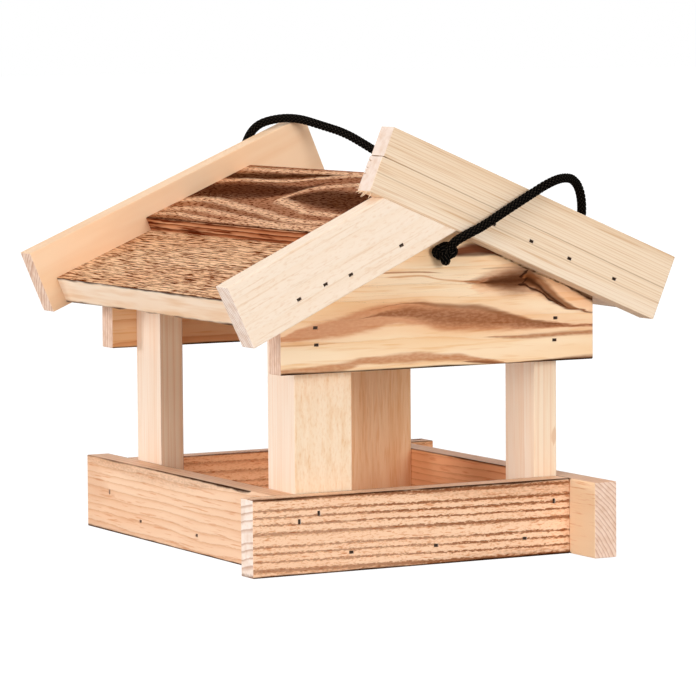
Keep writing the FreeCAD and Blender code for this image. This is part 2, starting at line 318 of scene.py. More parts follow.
def punchBrads(piece, board):        # slots that the brads' heads sit in, on the block's front face
    s = bradSlot
    slots = []
    for x, y, *upright in board["brads"]:
        deselectAll()
        spot = (x * mm, y * mm, board["size"][2] / 2 * mm)
        size = (s["wide"], s["long"]) if upright else (s["long"], s["wide"])
        scale = (size[0] * mm, size[1] * mm, 2 * s["deep"] * mm)
        bpy.ops.mesh.primitive_cube_add(size=1, location=spot, scale=scale)
        slots.append(bpy.context.object)
    deselectAll()
    for slot in slots:
        slot.select_set(True)
    bpy.context.view_layer.objects.active = slots[0]
    bpy.ops.object.join()
    bpy.ops.object.transform_apply(location=True, rotation=False, scale=True)
    combine(piece, slots[0])


def markGrain(piece, way, shift):        # the grain attribute, in the block's own millimetres
    grain = piece.data.attributes.new("grain", "FLOAT_VECTOR", "POINT")
    for vertex in piece.data.vertices:
        x, y, z = vertex.co / mm
        grain.data[vertex.index].vector = (way * x + shift, y, z)


dressOrder = ["face", "end", "edge", "back"]
squareOn = 0.72        # least share of a normal that makes a face an end, an edge or the back


def dressFaces(piece, looks):        # one look for the broad faces, and others for ends, edges and the back
    for key in dressOrder:
        piece.data.materials.append(looks.get(key, looks["face"]))
    for polygon in piece.data.polygons:
        normal = polygon.normal
        if abs(normal.x) > squareOn:
            polygon.material_index = dressOrder.index("end")
        elif abs(normal.y) > squareOn:
            polygon.material_index = dressOrder.index("edge")
        elif normal.z < -squareOn:
            polygon.material_index = dressOrder.index("back")


def setDown(piece, matrix):        # move to a place and put the place into the mesh
    pick(piece)
    piece.matrix_world = matrix
    bpy.ops.object.transform_apply(location=True, rotation=True, scale=True)


def fixOn(piece, node):
    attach(piece, "root")
    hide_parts(node)


def makeBoard(board):
    piece = sawBoard(board)
    place = placeOf(board)
    for point, normal in board.get("cuts", ()):
        crossCut(piece, place, point, normal)
    if "shape" in board:
        board["shape"](piece)
    easeArrises(piece)
    if "brads" in board:
        punchBrads(piece, board)
    for x, y, radius in board.get("bores", ()):
        deselectAll()
        bore = {"radius": radius * mm, "depth": 2 * board["size"][2] * mm}
        bpy.ops.mesh.primitive_cylinder_add(vertices=32, location=(x * mm, y * mm, 0), **bore)
        combine(piece, bpy.context.object)
    if "twin" in board:        # the same board on the other side, half a turn round
        name, node = board["twin"]
        pick(piece)
        bpy.ops.object.duplicate()
        twin = bpy.context.object
        twin.name = name
        twin.data.name = name
        markGrain(twin, -1, board.get("twinShift", 0.0))
        dressFaces(twin, {**board["looks"], **board.get("twinLooks", {})})
        setDown(twin, Matrix.Rotation(math.pi, 4, "Z") @ place)
        fixOn(twin, node)
    if "wear" in board:        # marks that the twin doesn't have
        board["wear"](piece)
    markGrain(piece, 1, board.get("shift", 0.0))
    dressFaces(piece, board["looks"])
    setDown(piece, place)
    fixOn(piece, board["node"])
    print("board", board["name"])


# Tray: flamed and brushed pine, salmon with rough dark late-wood lines and scorched edges
flamedTray = {
    "rings": {
        "pith": (-170, 30),
        "width": 5.6,
        "sway": [(4.0, (190, 40)), (1.2, (14, 1.9)), (3.2, (2.8, 1.0))],
        "uneven": 0.8,
        "tilt": (0, 0.8),
    },
    "ringColours": [
        (0.0, "#fdd5b3"), (0.60, "#fcd1ad"), (0.69, "#dba780"), (0.75, "#a5724f"), (0.90, "#966445"),
        (0.96, "#cf9c75"), (1.0, "#fbd0aa"),
    ],
    "bands": [
        {        # lines fade towards the left end
            "line": [(-112, -4, 80), (-70, -6, 60), (-20, -8, 30), (20, -8, 12), (50, -8, 0), (112, -8, 0)],
            "core": 0.0, "fray": 4.0, "amount": 0.3, "colour": "#f8c9a3",
        },
        {        # and darken to the upper right
            "line": [(-112, 22, 0), (0, 21, 2), (40, 20, 6), (90, 18, 10), (112, 17, 14)],
            "core": 0.0, "fray": 5.0, "amount": 0.3, "mottle": 0.7, "colour": "#9a623d",
        },
        {
            "line": [(-112, -24, 2), (0, -23, 3), (60, -22, 5), (112, -22, 6)],
            "core": 0.0, "fray": 4.0, "amount": 0.4, "mottle": 0.7, "colour": "#8d5735",
        },
        {        # soot along the bottom
            "line": [(-112, -24.6, 1.7), (0, -24.5, 1.8), (112, -24.4, 2.2)],
            "core": 0.5, "fray": 0.9, "amount": 0.95, "colour": "#321a0c",
        },
    ],
    "layers": [
        {"size": (7, 1.1), "ramp": [(0.30, "#e2c2a9"), (0.42, "#ffffff")], "relief": 0.6},
        {"size": (2.0, 0.9), "ramp": [(0.34, "#efdccc"), (0.46, "#ffffff")], "relief": 0.4},
        {"size": (160, 30), "ramp": [(0.3, "#f5e6d9"), (0.6, "#ffffff")]},
    ],
    "arris": {
        "reach": 31.5, "width": 1.0, "uneven": 2.6, "patch": (40, 5), "end": 112.9,
        "amount": 0.96, "colour": "#3a1e0e",
    },
    "ringRelief": -0.6,
    "relief": 0.3,
    "roughness": 0.6,
}
endGrain = {
    "ringColours": [
        (0.0, "#faeade"), (0.6, "#f8e5d7"), (0.8, "#dec0ad"), (0.9, "#cda994"), (1.0, "#f9e7da"),
    ],
    "layers": [{"size": (9, 5), "ramp": [(0.3, "#f3eae2"), (0.6, "#ffffff")], "relief": 1.0}],
    "ringRelief": 0.3,
    "relief": 0.25,
    "roughness": 0.8,
}
pinkEnd = {
    **endGrain,
    "ringColours": [
        (0.0, "#f5d9c5"), (0.55, "#f2d3be"), (0.8, "#dfb8a1"), (0.9, "#d0a48c"), (1.0, "#f4d7c2"),
    ],
}


def withoutScorch(look):
    return {key: value for key, value in look.items() if key not in ("arris", "bands")}


def turnedRings(look, **changes):        # the same look with other rings
    return {**look, "rings": {**look["rings"], **changes}}


calm = [(1.6, (150, 12)), (0.5, (9, 3))]        # sway of the rings on sawn ends
singed = {
    "line": [(-112, -24, 3), (112, -24, 3)],
    "core": 0.2, "fray": 2.5, "amount": 0.7, "colour": "#8a6650",
}
trayEnd = {**turnedRings(withoutScorch(flamedTray), sway=calm), **endGrain, "bands": [singed]}
# Inner faces: a deeper orange copy of the tray look, painted shade for faces that stand in shade
flamedInner = {
    **withoutScorch(flamedTray),
    "ringColours": [
        (0.0, "#f4c194"), (0.5, "#f2bb8d"), (0.78, "#dba276"), (0.9, "#c0855a"), (1.0, "#f2be90"),
    ],
    "arris": {**flamedTray["arris"], "reach": 32.0, "uneven": 1.4},
}
trayTop = {**withoutScorch(flamedTray), "arris": flamedTray["arris"]}
flamedTrayPine = pine("flamedBrushedPine", flamedTray)        # salmon, with rough dark year lines
flamedTrayEnd = pine("pineEndGrainWide", trayEnd)        # whitish saw cut with wide brown arcs
trayTopPine = pine("flamedTrayTopPine", trayTop)        # the same salmon without bands, dark at its arrises
flamedInnerPine = pine("flamedTrayInnerPine", flamedInner)        # deeper orange as painted shade, with softer lines
makeBoard(
    {
        "name": "trayFrontBoard",
        "node": "tray_front_board",
        "slot": "flamed_pine",
        "size": (225.5, 48, 16),
        "centre": (-18.75, -120.5, 24),
        "along": toRight,
        "across": up,
        "brads": [
            (-80.75, 9, True), (-67.25, 13.3, True), (100.95, 10.2, True),
            (-44.75, -12.2), (15.15, -12.2), (79.45, -12.2),
        ],
        "looks": {"face": flamedTrayPine, "end": flamedTrayEnd, "edge": trayTopPine, "back": flamedInnerPine},
        "twin": ("trayBackBoard", "tray_back_board"),
        "twinShift": 640,
    }
)
flamedSide = {
    **flamedTray,
    "rings": {
        "pith": (-90, -120),
        "width": 3.3,
        "sway": [(8.0, (170, 40)), (0.7, (12, 2.0)), (0.5, (4, 1.1))],
        "uneven": 0.7,
    },
    "ringColours": [
        (0.0, "#f6d0af"), (0.55, "#f5ccaa"), (0.8, "#eec09b"), (0.93, "#e3b18b"), (1.0, "#f5ceac"),
    ],
    "layers": [
        {"size": (22, 1.4), "ramp": [(0.28, "#ecd2be"), (0.42, "#ffffff")], "relief": 0.5},
        {"size": (160, 30), "ramp": [(0.3, "#f7e9dd"), (0.6, "#ffffff")]},
    ],
    "bands": [        # scorched along the bottom and at the back end
        {
            "line": [(-130, -25, 12), (-60, -25, 7), (0, -25, 5), (60, -25, 4), (125, -25, 4)],
            "core": 0.0, "fray": 4.0, "amount": 0.4, "colour": "#c48a62",
        },
        {
            "line": [(-130, -24.4, 2.4), (-60, -24.5, 2.0), (0, -24.5, 1.8), (125, -24.5, 1.8)],
            "core": 0.5, "fray": 0.9, "amount": 0.9, "colour": "#3d2110",
        },
        {
            "line": [(-130, 6, 30), (-118, 4, 22), (-104, 2, 8), (-88, 0, 0), (125, 0, 0)],
            "core": 0.0, "fray": 6.0, "amount": 0.3, "colour": "#cf946a",
        },
        {        # brown haze under the top
            "line": [
                (-130, 22, 4), (-80, 21, 7), (-30, 20, 8), (20, 20, 6), (60, 22, 3), (107, 24, 0),
                (125, 24, 0),
            ],
            "core": 0.0, "fray": 6.0, "amount": 0.4, "mottle": 0.6, "colour": "#a97a58",
        },
        {        # soot below the top arris
            "line": [
                (-120, 25, 0), (-80, 25, 1.2), (-30, 25, 2.0), (30, 25, 2.8), (80, 25, 3.4), (105, 25, 3),
                (107, 25, 0),
            ],
            "core": 0.45, "fray": 1.8, "amount": 0.95, "colour": "#2a160c",
        },
    ],
    "arris": {
        "reach": 31.8, "width": 1.0, "uneven": 2.0, "patch": (40, 5), "until": 107,
        "amount": 0.95, "colour": "#3d2110",
    },
}
# Inner face: a deeper orange copy of the side look, painted shade for a face that stands in shade
sideInner = {
    **flamedSide,
    "ringColours": [
        (0.0, "#efb383"), (0.55, "#edae7e"), (0.8, "#e4a374"), (0.93, "#d69363"), (1.0, "#eeb181"),
    ],
    "bands": [        # painted light: paler past the corner, where the inner face stands in full light
        {
            "line": [(-130, 0, 70), (-107, 0, 60), (-104, 0, 0), (104, 0, 0), (107, 0, 60), (130, 0, 70)],
            "core": 0.6, "fray": 1.0, "amount": 0.95, "colour": "#ffe3c0",
        },
    ],
}
sideTop = {**withoutScorch(flamedSide), "arris": flamedSide["arris"]}
sideEnd = {**turnedRings(withoutScorch(flamedSide), pith=(-60, -70), width=2.4, sway=calm), **pinkEnd}
flamedSidePine = pine("flamedSidePine", flamedSide)        # calm salmon with faint lines and brown rims
sideTopPine = pine("flamedSideTopPine", sideTop)        # salmon top with broken lines of soot
sideInnerPine = pine("flamedSideInnerPine", sideInner)        # deeper orange as painted shade, and pale past the corner as painted light
flamedSideEnd = pine("pineEndGrainSlant", sideEnd)        # pink saw cut with narrow slanting arcs
makeBoard(
    {
        "name": "trayLeftBoard",
        "node": "tray_left_board",
        "slot": "flamed_pine",
        "size": (271, 48, 16),
        "centre": (-102, 23, 24),
        "along": toFront,
        "across": up,
        "brads": [(-100.3, 2.4, True), (113, -12.2), (30.5, -12.2), (-52.6, -12.2)],
        "looks": {"face": flamedSidePine, "end": flamedSideEnd, "edge": sideTopPine, "back": sideInnerPine},
        "twin": ("trayRightBoard", "tray_right_board"),
    }
)
flamedFloor = turnedRings(withoutScorch(sideInner), width=7.0)
flamedFloorPine = pine("flamedFloorPine", flamedFloor)        # orange boarding with broad soft lines, its orange the painted shade of the inner faces
makeBoard(
    {
        "name": "trayFloor",
        "node": "tray_floor",
        "slot": "flamed_pine",
        "size": (225, 188, 18),
        "centre": (0, 0, 9),
        "along": toFront,
        "across": toRight,
        "looks": {"face": flamedFloorPine, "end": flamedSideEnd},
    }
)

# Posts: the thick ones rough from the saw, the slim ones planed
sawn = {
    "rings": {"pith": (-60, -80), "width": 6.0, "sway": [(6.0, (140, 40)), (0.6, (8, 1.5))], "uneven": 0.6},
    "ringColours": [(0.0, "#fbe2c5"), (0.6, "#fae0c2"), (0.9, "#f8dcbc"), (1.0, "#fbe2c5")],
    "layers": [
        {"size": (3, 1.3), "ramp": [(0.3, "#f9f1e6"), (0.46, "#fefcfa"), (0.55, "#ffffff")], "relief": 0.5},
        {"size": (14, 3), "ramp": [(0.30, "#f8eee2"), (0.5, "#ffffff")], "relief": 0.6},
    ],
    "ringRelief": 0.0,
    "relief": 0.4,
    "roughness": 0.85,
}
# Back right post: a darker, warmer copy of the sawn look, painted shade for a post that stands in shade under
# the roof
sawnWarm = {
    **sawn,
    "ringColours": [(0.0, "#f6cfa6"), (0.6, "#f5cca2"), (0.9, "#f2c69a"), (1.0, "#f6cfa6")],
    "layers": [
        {"size": (16, 1.4), "ramp": [(0.30, "#f8ede1"), (0.48, "#ffffff")], "relief": 0.8},
        {"size": (60, 8), "ramp": [(0.3, "#f5e8da"), (0.55, "#ffffff")], "relief": 0.4},
    ],
}
planed = {
    "rings": {"pith": (-40, -110), "width": 3.6, "sway": [(3.0, (220, 40)), (0.3, (20, 1.5))], "uneven": 0.9},
    "ringColours": [
        (0.0, "#fbe5d1"), (0.6, "#fae3ce"), (0.88, "#f9e0ca"), (0.96, "#f8dcc4"), (1.0, "#fbe4d0"),
    ],
    "layers": [
        {"size": (50, 1.6), "ramp": [(0.3, "#fbf4ed"), (0.48, "#ffffff")], "relief": 0.4},
        {"size": (160, 8), "ramp": [(0.3, "#fbf3eb"), (0.55, "#ffffff")]},
    ],
    "ringRelief": -0.3,
    "relief": 0.08,
    "roughness": 0.55,
}
straightPost = {
    **planed,
    "rings": {"pith": (-200, -30), "width": 4.2, "sway": [(2.0, (260, 40)), (0.3, (20, 1.5))], "uneven": 0.9},
    "ringColours": [
        (0.0, "#fae2c7"), (0.55, "#f9e0c4"), (0.85, "#f5d6b6"), (0.95, "#f0ccaa"), (1.0, "#f9e0c4"),
    ],
    "bands": [        # a small knot by the outer edge
        {
            "line": [
                (-73, -6, 0), (-25, -6, 0), (-21, -6.2, 2.2), (-18, -6.4, 3.4), (-15, -6.6, 2.2),
                (-11, -6.8, 0), (73, -6, 0),
            ],
            "core": 0.2, "fray": 1.5, "amount": 0.5, "colour": "#d9a377",
        },
    ],
}
redArris = {
    "reach": 25.9, "width": 0.5, "uneven": 0.7, "patch": (60, 6),
    "amount": 0.6, "colour": "#9c5a44",
}
straightEdge = {
    **withoutScorch(straightPost),
    "ringColours": [
        (0.0, "#fdebd6"), (0.55, "#fce9d3"), (0.85, "#f9e0c6"), (0.95, "#f5d8bc"), (1.0, "#fce9d3"),
    ],
}
sawnPine = pine("roughSawnPine", sawn)        # cream, matt and specked by the saw
sawnWarmPine = pine("roughSawnWarmPine", sawnWarm)        # the same in a darker tan as painted shade, with longer marks
planedPine = pine("planedPine", planed)        # smooth cream with hardly any lines
straightPine = pine("planedStraightPostPine", straightPost)        # smooth, with honey lines
redArrisPine = pine("planedRedArrisPine", {**straightPost, "arris": redArris})        # honey, reddish rim
straightEdgePine = pine("planedStraightEdgePine", straightEdge)        # paler, on narrow sides
postEnd = pine("pineEndGrainPost", {**planed, **pinkEnd})        # pink saw cut with arcs
post = {"long": 146.93, "middle": 91.465, "deep": 36, "out": 94.5}        # mm, out from the table's middle
makeBoard(
    {
        "name": "postFrontLeft",
        "node": "post_front_left",
        "slot": "sawn_pine",
        "size": (post["long"], 40, post["deep"]),
        "centre": (-74, -post["out"], post["middle"]),
        "along": up,
        "across": -toRight,
        "looks": {"face": sawnPine, "end": postEnd, "edge": planedPine},
    }
)
makeBoard(
    {
        "name": "postBackRight",
        "node": "post_back_right",
        "slot": "sawn_pine",
        "size": (post["long"], 46.5, post["deep"]),
        "centre": (70.75, post["out"], post["middle"]),
        "along": up,
        "across": toRight,
        "shift": 40,
        "looks": {"face": sawnWarmPine, "end": postEnd, "edge": planedPine},
    }
)
makeBoard(
    {
        "name": "postFrontRight",
        "node": "post_front_right",
        "slot": "planed_pine",
        "size": (post["long"], 16.5, post["deep"]),
        "centre": (85.75, -post["out"], post["middle"]),
        "along": up,
        "across": -toRight,
        "looks": {"face": straightPine, "end": postEnd, "edge": straightEdgePine},
        "twin": ("postBackLeft", "post_back_left"),
        "twinShift": 410,
        "twinLooks": {"face": redArrisPine, "edge": planedPine},
    }
)

# Roof geometry, in mm from the peak where the undersides of the slopes meet
roof = {
    "pitch": 23.0,        # degrees
    "peak": 211.829,
    "step": 74.0,        # down the slope, where the upper board ends and the lower one starts
    "eave": 149.0,
    "spare": 16.0,        # length of the upper board that the plumb cut at the ridge takes off
    "lowerThick": 18.0,
    "upperThick": 27.0,
    "depth": 257.0,        # from front to back
    "bargeThick": 16.0,
}
pitchAngle = math.radians(roof["pitch"])
downSlope = Vector((math.cos(pitchAngle), 0, -math.sin(pitchAngle)))        # of the right slope
offSlope = Vector((math.sin(pitchAngle), 0, math.cos(pitchAngle)))
peak = Vector((0, 0, roof["peak"]))


def onSlope(along, rise):
    return peak + downSlope * along + offSlope * rise


# Gables: flamed pine with broad scorched bands
crackEdge = {"core": 0.1, "fray": 2.6, "amount": 0.95, "colour": "#34190c"}
flamedGable = {
    "rings": {"pith": (-60, -25), "width": 10, "sway": [(16, (170, 50)), (1.4, (12, 2.6))], "uneven": 0.8},
    "ringColours": [
        (0.0, "#fee1bd"), (0.6, "#fddfba"), (0.88, "#fbd9b0"), (0.96, "#f8d1a5"), (1.0, "#fee0bc"),
    ],
    "frayed": (14, 2.2),
    "layers": [
        {"size": (34, 2.2), "ramp": [(0.28, "#f6e9d8"), (0.44, "#ffffff")], "relief": 0.5},
        {"size": (140, 18), "ramp": [(0.3, "#f8e8d4"), (0.6, "#ffffff")]},
    ],
    "bands": [
        {        # warmed by the flame round the bands
            "line": [
                (-111, -22, 8), (-77, -17, 13), (-38, -10, 15), (0, -13, 17), (40, -16, 15), (83, -21, 10),
                (111, -23, 7),
            ],
            "core": 0.3, "fray": 6.0, "amount": 0.42, "colour": "#efb17c",
        },
        {        # and round the burn
            "line": [
                (18, 4, 0), (32, 5, 9), (48, 6, 15), (64, 7, 17), (80, 4, 15), (95, -3, 13), (111, -9, 11),
            ],
            "core": 0.1, "fray": 8.0, "amount": 0.5, "colour": "#eba56e",
        },
        {        # the lens-shaped band through the middle
            "line": [
                (-111.5, -22.5, 2.2), (-96, -19.6, 5), (-77, -17.4, 7), (-62, -15, 8.2), (-50, -12.5, 9),
                (-38.8, -10.6, 8.6), (-25, -10, 8.6), (-12, -10.7, 9.5), (0, -13.5, 10), (15, -14.8, 10),
                (28, -15.3, 9.6), (40, -16.8, 8.2), (50, -18.3, 6.5), (60, -19.5, 5.2), (71, -21, 3.6),
                (83, -21.8, 2.6), (111, -23, 1.2),
            ],
            "core": 0.55, "fray": 3.0, "amount": 0.88, "mottle": 0.12, "colour": "#cf8c61",
        },
        {        # darker in its right half
            "line": [
                (-60, -12, 0), (-40, -10, 2), (-20, -9.5, 6), (0, -13, 8.5), (20, -14.5, 9),
                (40, -16.5, 7.4), (60, -19.5, 4.6), (85, -21.8, 2.2), (111, -23, 0.8),
            ],
            "core": 0.2, "fray": 3.5, "amount": 0.8, "mottle": 0.25, "colour": "#8a5232",
        },
        {        # its dark upper rim
            "line": [
                (-60, -8, 0), (-20, -3.8, 0.8), (0, -6, 2.2), (28, -8.4, 3), (38, -10.8, 3.2),
                (50, -14.2, 2.8), (62.6, -17.6, 2.2), (75, -19.8, 1.6), (90, -21.5, 0),
            ],
            "core": 0.0, "fray": 1.8, "amount": 0.6, "colour": "#74421f",
        },
        {        # a second band below its right end
            "line": [
                (30, -27, 0), (42, -27.6, 1.2), (58, -28, 2.0), (75, -27.9, 2.3), (95, -27.5, 2.2),
                (111, -27.2, 2.1),
            ],
            "core": 0.1, "fray": 1.6, "amount": 0.8, "mottle": 0.15, "colour": "#a6673f",
        },
        {
            "line": [(-111.6, -26.5, 0.8), (-85, -26.4, 0.7), (-66, -26, 0), (111, -26, 0)],
            "core": 0.2, "fray": 0.6, "amount": 0.7, "colour": "#cf9460",
        },
        {        # along the bottom edge
            "line": [
                (-111.7, -42.8, 2.8), (-92.8, -42.3, 3.4), (-70, -41, 4), (-54.5, -38.2, 3.2),
                (-39, -38, 3.6), (-23.5, -37.5, 4.4), (-11.8, -37.5, 4.2), (0, -38.2, 3.4),
                (17, -39.5, 3.2), (25, -40.9, 2.6), (38.5, -42.6, 1.4), (48, -43.6, 0),
            ],
            "core": 0.3, "fray": 2.4, "amount": 0.85, "mottle": 0.15, "colour": "#c07e50",
        },
        {
            "line": [
                (14, -42, 0), (26, -42.4, 1.4), (36, -43, 1.6), (46, -44, 0.6), (66, -44, 0.8),
                (87, -43.6, 1.8), (111, -43.2, 2.6),
            ],
            "core": 0.1, "fray": 1.6, "amount": 0.8, "colour": "#7d4627",
        },
        {        # thin late-wood lines above
            "line": [
                (-46, 15, 0), (-38.7, 15.4, 0.7), (-23.2, 15.5, 0.8), (-8, 14.8, 0.6), (4, 14, 0),
                (111, 10, 0),
            ],
            "core": 0.2, "fray": 0.8, "amount": 0.75, "colour": "#a8652f",
        },
        {
            "line": [
                (-40, 12.8, 0), (-32, 12.8, 0.8), (-11.5, 12.6, 0.9), (0.3, 10, 0.8), (12, 8.8, 0.9),
                (38, 6.2, 1.2), (50, 5, 0),
            ],
            "core": 0.2, "fray": 0.8, "amount": 0.7, "colour": "#d3915a",
        },
        {        # burn left of the crack
            "line": [
                (14, 8, 0), (26, 8, 4), (38, 8, 9.5), (50, 7.5, 14), (60, 7, 13), (65, 5, 9.5),
                (71, 1, 5.6), (80, -5, 4), (90, -10, 2.4), (111, -14, 0),
            ],
            "core": 0.0, "fray": 4.0, "amount": 0.9, "mottle": 0.15, "colour": "#9a5a33",
        },
        {
            "line": [
                (28, 7, 0), (38, 7, 5), (48, 7.5, 9), (57, 8, 11.5), (63, 8.5, 10.5), (67, 8.5, 6.5),
                (73, 7, 0), (111, 0, 0),
            ],
            "core": 0.0, "fray": 3.0, "amount": 0.95, "colour": "#4f2914",
        },
        {
            "line": [
                (28, 15.7, 0), (34, 15.7, 0.8), (50, 15.8, 0.9), (61, 14.7, 1), (67, 13, 0), (111, 0, 0),
            ],
            "core": 0.1, "fray": 0.8, "amount": 0.4, "colour": "#824a2a",
        },
        {        # burn right of the crack
            "line": [
                (59, 9, 0), (62, 10, 4), (66, 9.4, 7), (71, 6.8, 7.5), (76, 3, 6.5), (82, -2, 5.4),
                (88, -6.8, 4), (95, -10.4, 2.2), (104, -13, 0), (111, -14, 0),
            ],
            "core": 0.1, "fray": 2.0, "amount": 0.9, "colour": "#8a5430",
        },
        {
            "line": [
                (60, 8, 0), (63, 8, 4), (67, 6, 4.4), (71.5, 3.2, 3.6), (76, -0.8, 3), (82, -5, 2.6),
                (88, -9, 1.8), (94, -11.6, 0), (111, -14, 0),
            ],
            "core": 0.0, "fray": 1.6, "amount": 0.95, "colour": "#43220f",
        },
        {        # crack, the torn edge of that burn
            **crackEdge,
            "line": [
                (55.6, 4.8, 0), (57.7, 4.5, 1.0), (61, 4.4, 1.4), (65.1, 1.9, 1.3), (70.1, 0.5, 1.2),
                (75.1, -2.2, 1.2), (78.4, -5.1, 1.5), (84.3, -8, 1.2), (87.6, -9.9, 0), (111, -14.8, 0),
            ],
        },
        {
            "line": [
                (80, -6, 0), (86, -9.2, 0.9), (91.8, -11.4, 1.0), (100, -12.6, 0.9), (111, -14.8, 0.8),
            ],
            "core": 0.0, "fray": 2.0, "amount": 0.75, "colour": "#6b3d1f",
        },
        {
            **crackEdge,
            "line": [
                (56.6, 10, 0), (58.2, 9.8, 0.9), (60, 11.2, 1.8), (62.5, 12.6, 1.6), (64.5, 13.6, 0),
                (111, 0, 0),
            ],
        },
        {
            **crackEdge,
            "line": [(59, 5.2, 0), (60.6, 6.2, 1.2), (62.2, 8, 1.6), (64, 9, 0), (111, 0, 0)],
        },
        {        # darker under the barge board
            "line": [(90, 3, 0), (96, 0.6, 1.8), (102, -2.2, 2.8), (108, -4.8, 3.4), (111, -6.4, 3.8)],
            "core": 0.0, "fray": 2.0, "amount": 0.85, "colour": "#56301a",
        },
        # painted shadow: a thin dark line in the gap along the barge board's lower edge
        {
            "line": [
                (36, 26.2, 0), (39.6, 24.9, 0.9), (61, 15.5, 1.1), (69.3, 12.1, 1.2), (76.8, 9, 1),
                (90.2, 3.5, 0.9), (98.6, -0.4, 1), (111.2, -6.4, 1.4),
            ],
            "core": 0.1, "fray": 1.2, "amount": 0.9, "mottle": 0.6, "colour": "#3a1e10",
        },
        {        # burn below the peak, darkened further by painted shade under the barge board and the cord
            "line": [
                (5, 25.8, 0), (9.4, 26.4, 2), (17, 27.6, 4.4), (25, 28, 5), (32, 27.2, 3.8),
                (38.8, 25.4, 1.2), (44, 23.6, 0),
            ],
            "core": 0.35, "fray": 2.0, "amount": 0.95, "colour": "#6d3216",
        },
        {
            "line": [(5, 25, 0), (10, 25, 1.4), (25, 24.6, 2.2), (38, 24.6, 1.6), (46, 22, 0), (111, 0, 0)],
            "core": 0.0, "fray": 1.2, "amount": 0.7, "colour": "#4a210e",
        },
    ],
    "arris": {
        "reach": 51.9, "width": 1.0, "uneven": 2.8, "patch": (60, 8),
        "amount": 0.97, "colour": "#30190b",
    },
    "ringRelief": -0.4,
    "relief": 0.2,
    "roughness": 0.6,
}
# Gables' inner faces: a deeper orange copy, painted shade for faces that stand in the roof's shade
gableInner = {
    **withoutScorch(flamedGable),
    "ringColours": [
        (0.0, "#fbd3a8"), (0.6, "#fad0a4"), (0.88, "#efbd90"), (0.96, "#e4ad7e"), (1.0, "#fbd1a6"),
    ],
    "arris": flamedGable["arris"],
}
plainBands = 11        # the back gable has the bands up to the burns
plainGable = {**flamedGable, "bands": flamedGable["bands"][:plainBands]}
gableEnd = {**turnedRings(withoutScorch(flamedGable), pith=(-40, -190), width=2.6, sway=calm), **pinkEnd}
flamedGablePine = pine("flamedGablePine", flamedGable)        # honey, with brown bands and a burnt split
plainGablePine = pine("flamedPlainGablePine", plainGable)        # honey, with the bands alone
gableInnerPine = pine("flamedGableInnerPine", gableInner)        # plain deeper orange as painted shade, dark at its arrises
gableEndPine = pine("pineEndGrainGable", gableEnd)        # pink saw cut with fine arcs
makeBoard(
    {
        "name": "gableFront",
        "node": "gable_front",
        "slot": "flamed_pine",
        "size": (223, 88.83, 16),
        "centre": (0, -120.5, 167.415),
        "along": toRight,
        "across": up,
        "cuts": [(peak, offSlope), (peak, Vector((-offSlope.x, 0, offSlope.z)))],
        "brads": [(-87.4, -16.2), (-86.8, -26.7), (83.7, -17.3), (82.9, -31.2)],
        "bores": [(0, 25.414, 3.5)],
        "looks": {"face": flamedGablePine, "end": gableEndPine, "back": gableInnerPine},
        "twin": ("gableBack", "gable_back"),
        "twinLooks": {"face": plainGablePine},
    }
)

# Roof boards: the lower ones brushed to short dark dashes, the upper ones flamed to dark arches
flamedLower = {
    "rings": {"pith": (-300, 60), "width": 3.0, "sway": [(5.0, (150, 30)), (1.2, (12, 1.6))], "uneven": 0.9},
    "ringColours": [
        (0.0, "#fad0a6"), (0.5, "#f7c99e"), (0.8, "#e2b184"), (0.92, "#d2a073"), (1.0, "#f9cea4"),
    ],
    "layers": [
        {
            "size": (16, 0.8),
            "ramp": [(0.40, "#774720"), (0.44, "#b98b60"), (0.48, "#ffffff")],
            "detail": 2.5,
            "relief": 1.0,
        },
        {"size": (8, 0.75), "ramp": [(0.34, "#a97a51"), (0.46, "#ffffff")], "relief": 0.8},
        {"size": (110, 26), "ramp": [(0.3, "#f0dccb"), (0.6, "#ffffff")]},
    ],
    "ringRelief": -0.5,
    "relief": 0.4,
    "roughness": 0.7,
}
flamedUpper = {
    **flamedLower,
    "rings": {
        "pith": (1, -72.5),
        "width": 4.6,
        "sway": [(5.0, (120, 26)), (1.8, (11, 1.8))],
        "uneven": 0.5,
        "tilt": (2.9, 0),
    },
    "ringColours": [
        (0.0, "#f4c49b"), (0.1, "#e0aa7e"), (0.24, "#b0774f"), (0.5, "#955f3b"), (0.84, "#a06a45"),
        (1.0, "#f3c299"),
    ],
    "layers": [
        {"size": (7, 1.0), "ramp": [(0.36, "#6c3f22"), (0.44, "#b78d69"), (0.50, "#ffffff")], "relief": 1.0},
        {"size": (120, 22), "ramp": [(0.3, "#e3c9b4"), (0.55, "#ffffff")]},
    ],
}
paleLine = {"core": 0.1, "fray": 2.2, "amount": 1.0, "mottle": 0.1, "colour": "#f0bf95"}
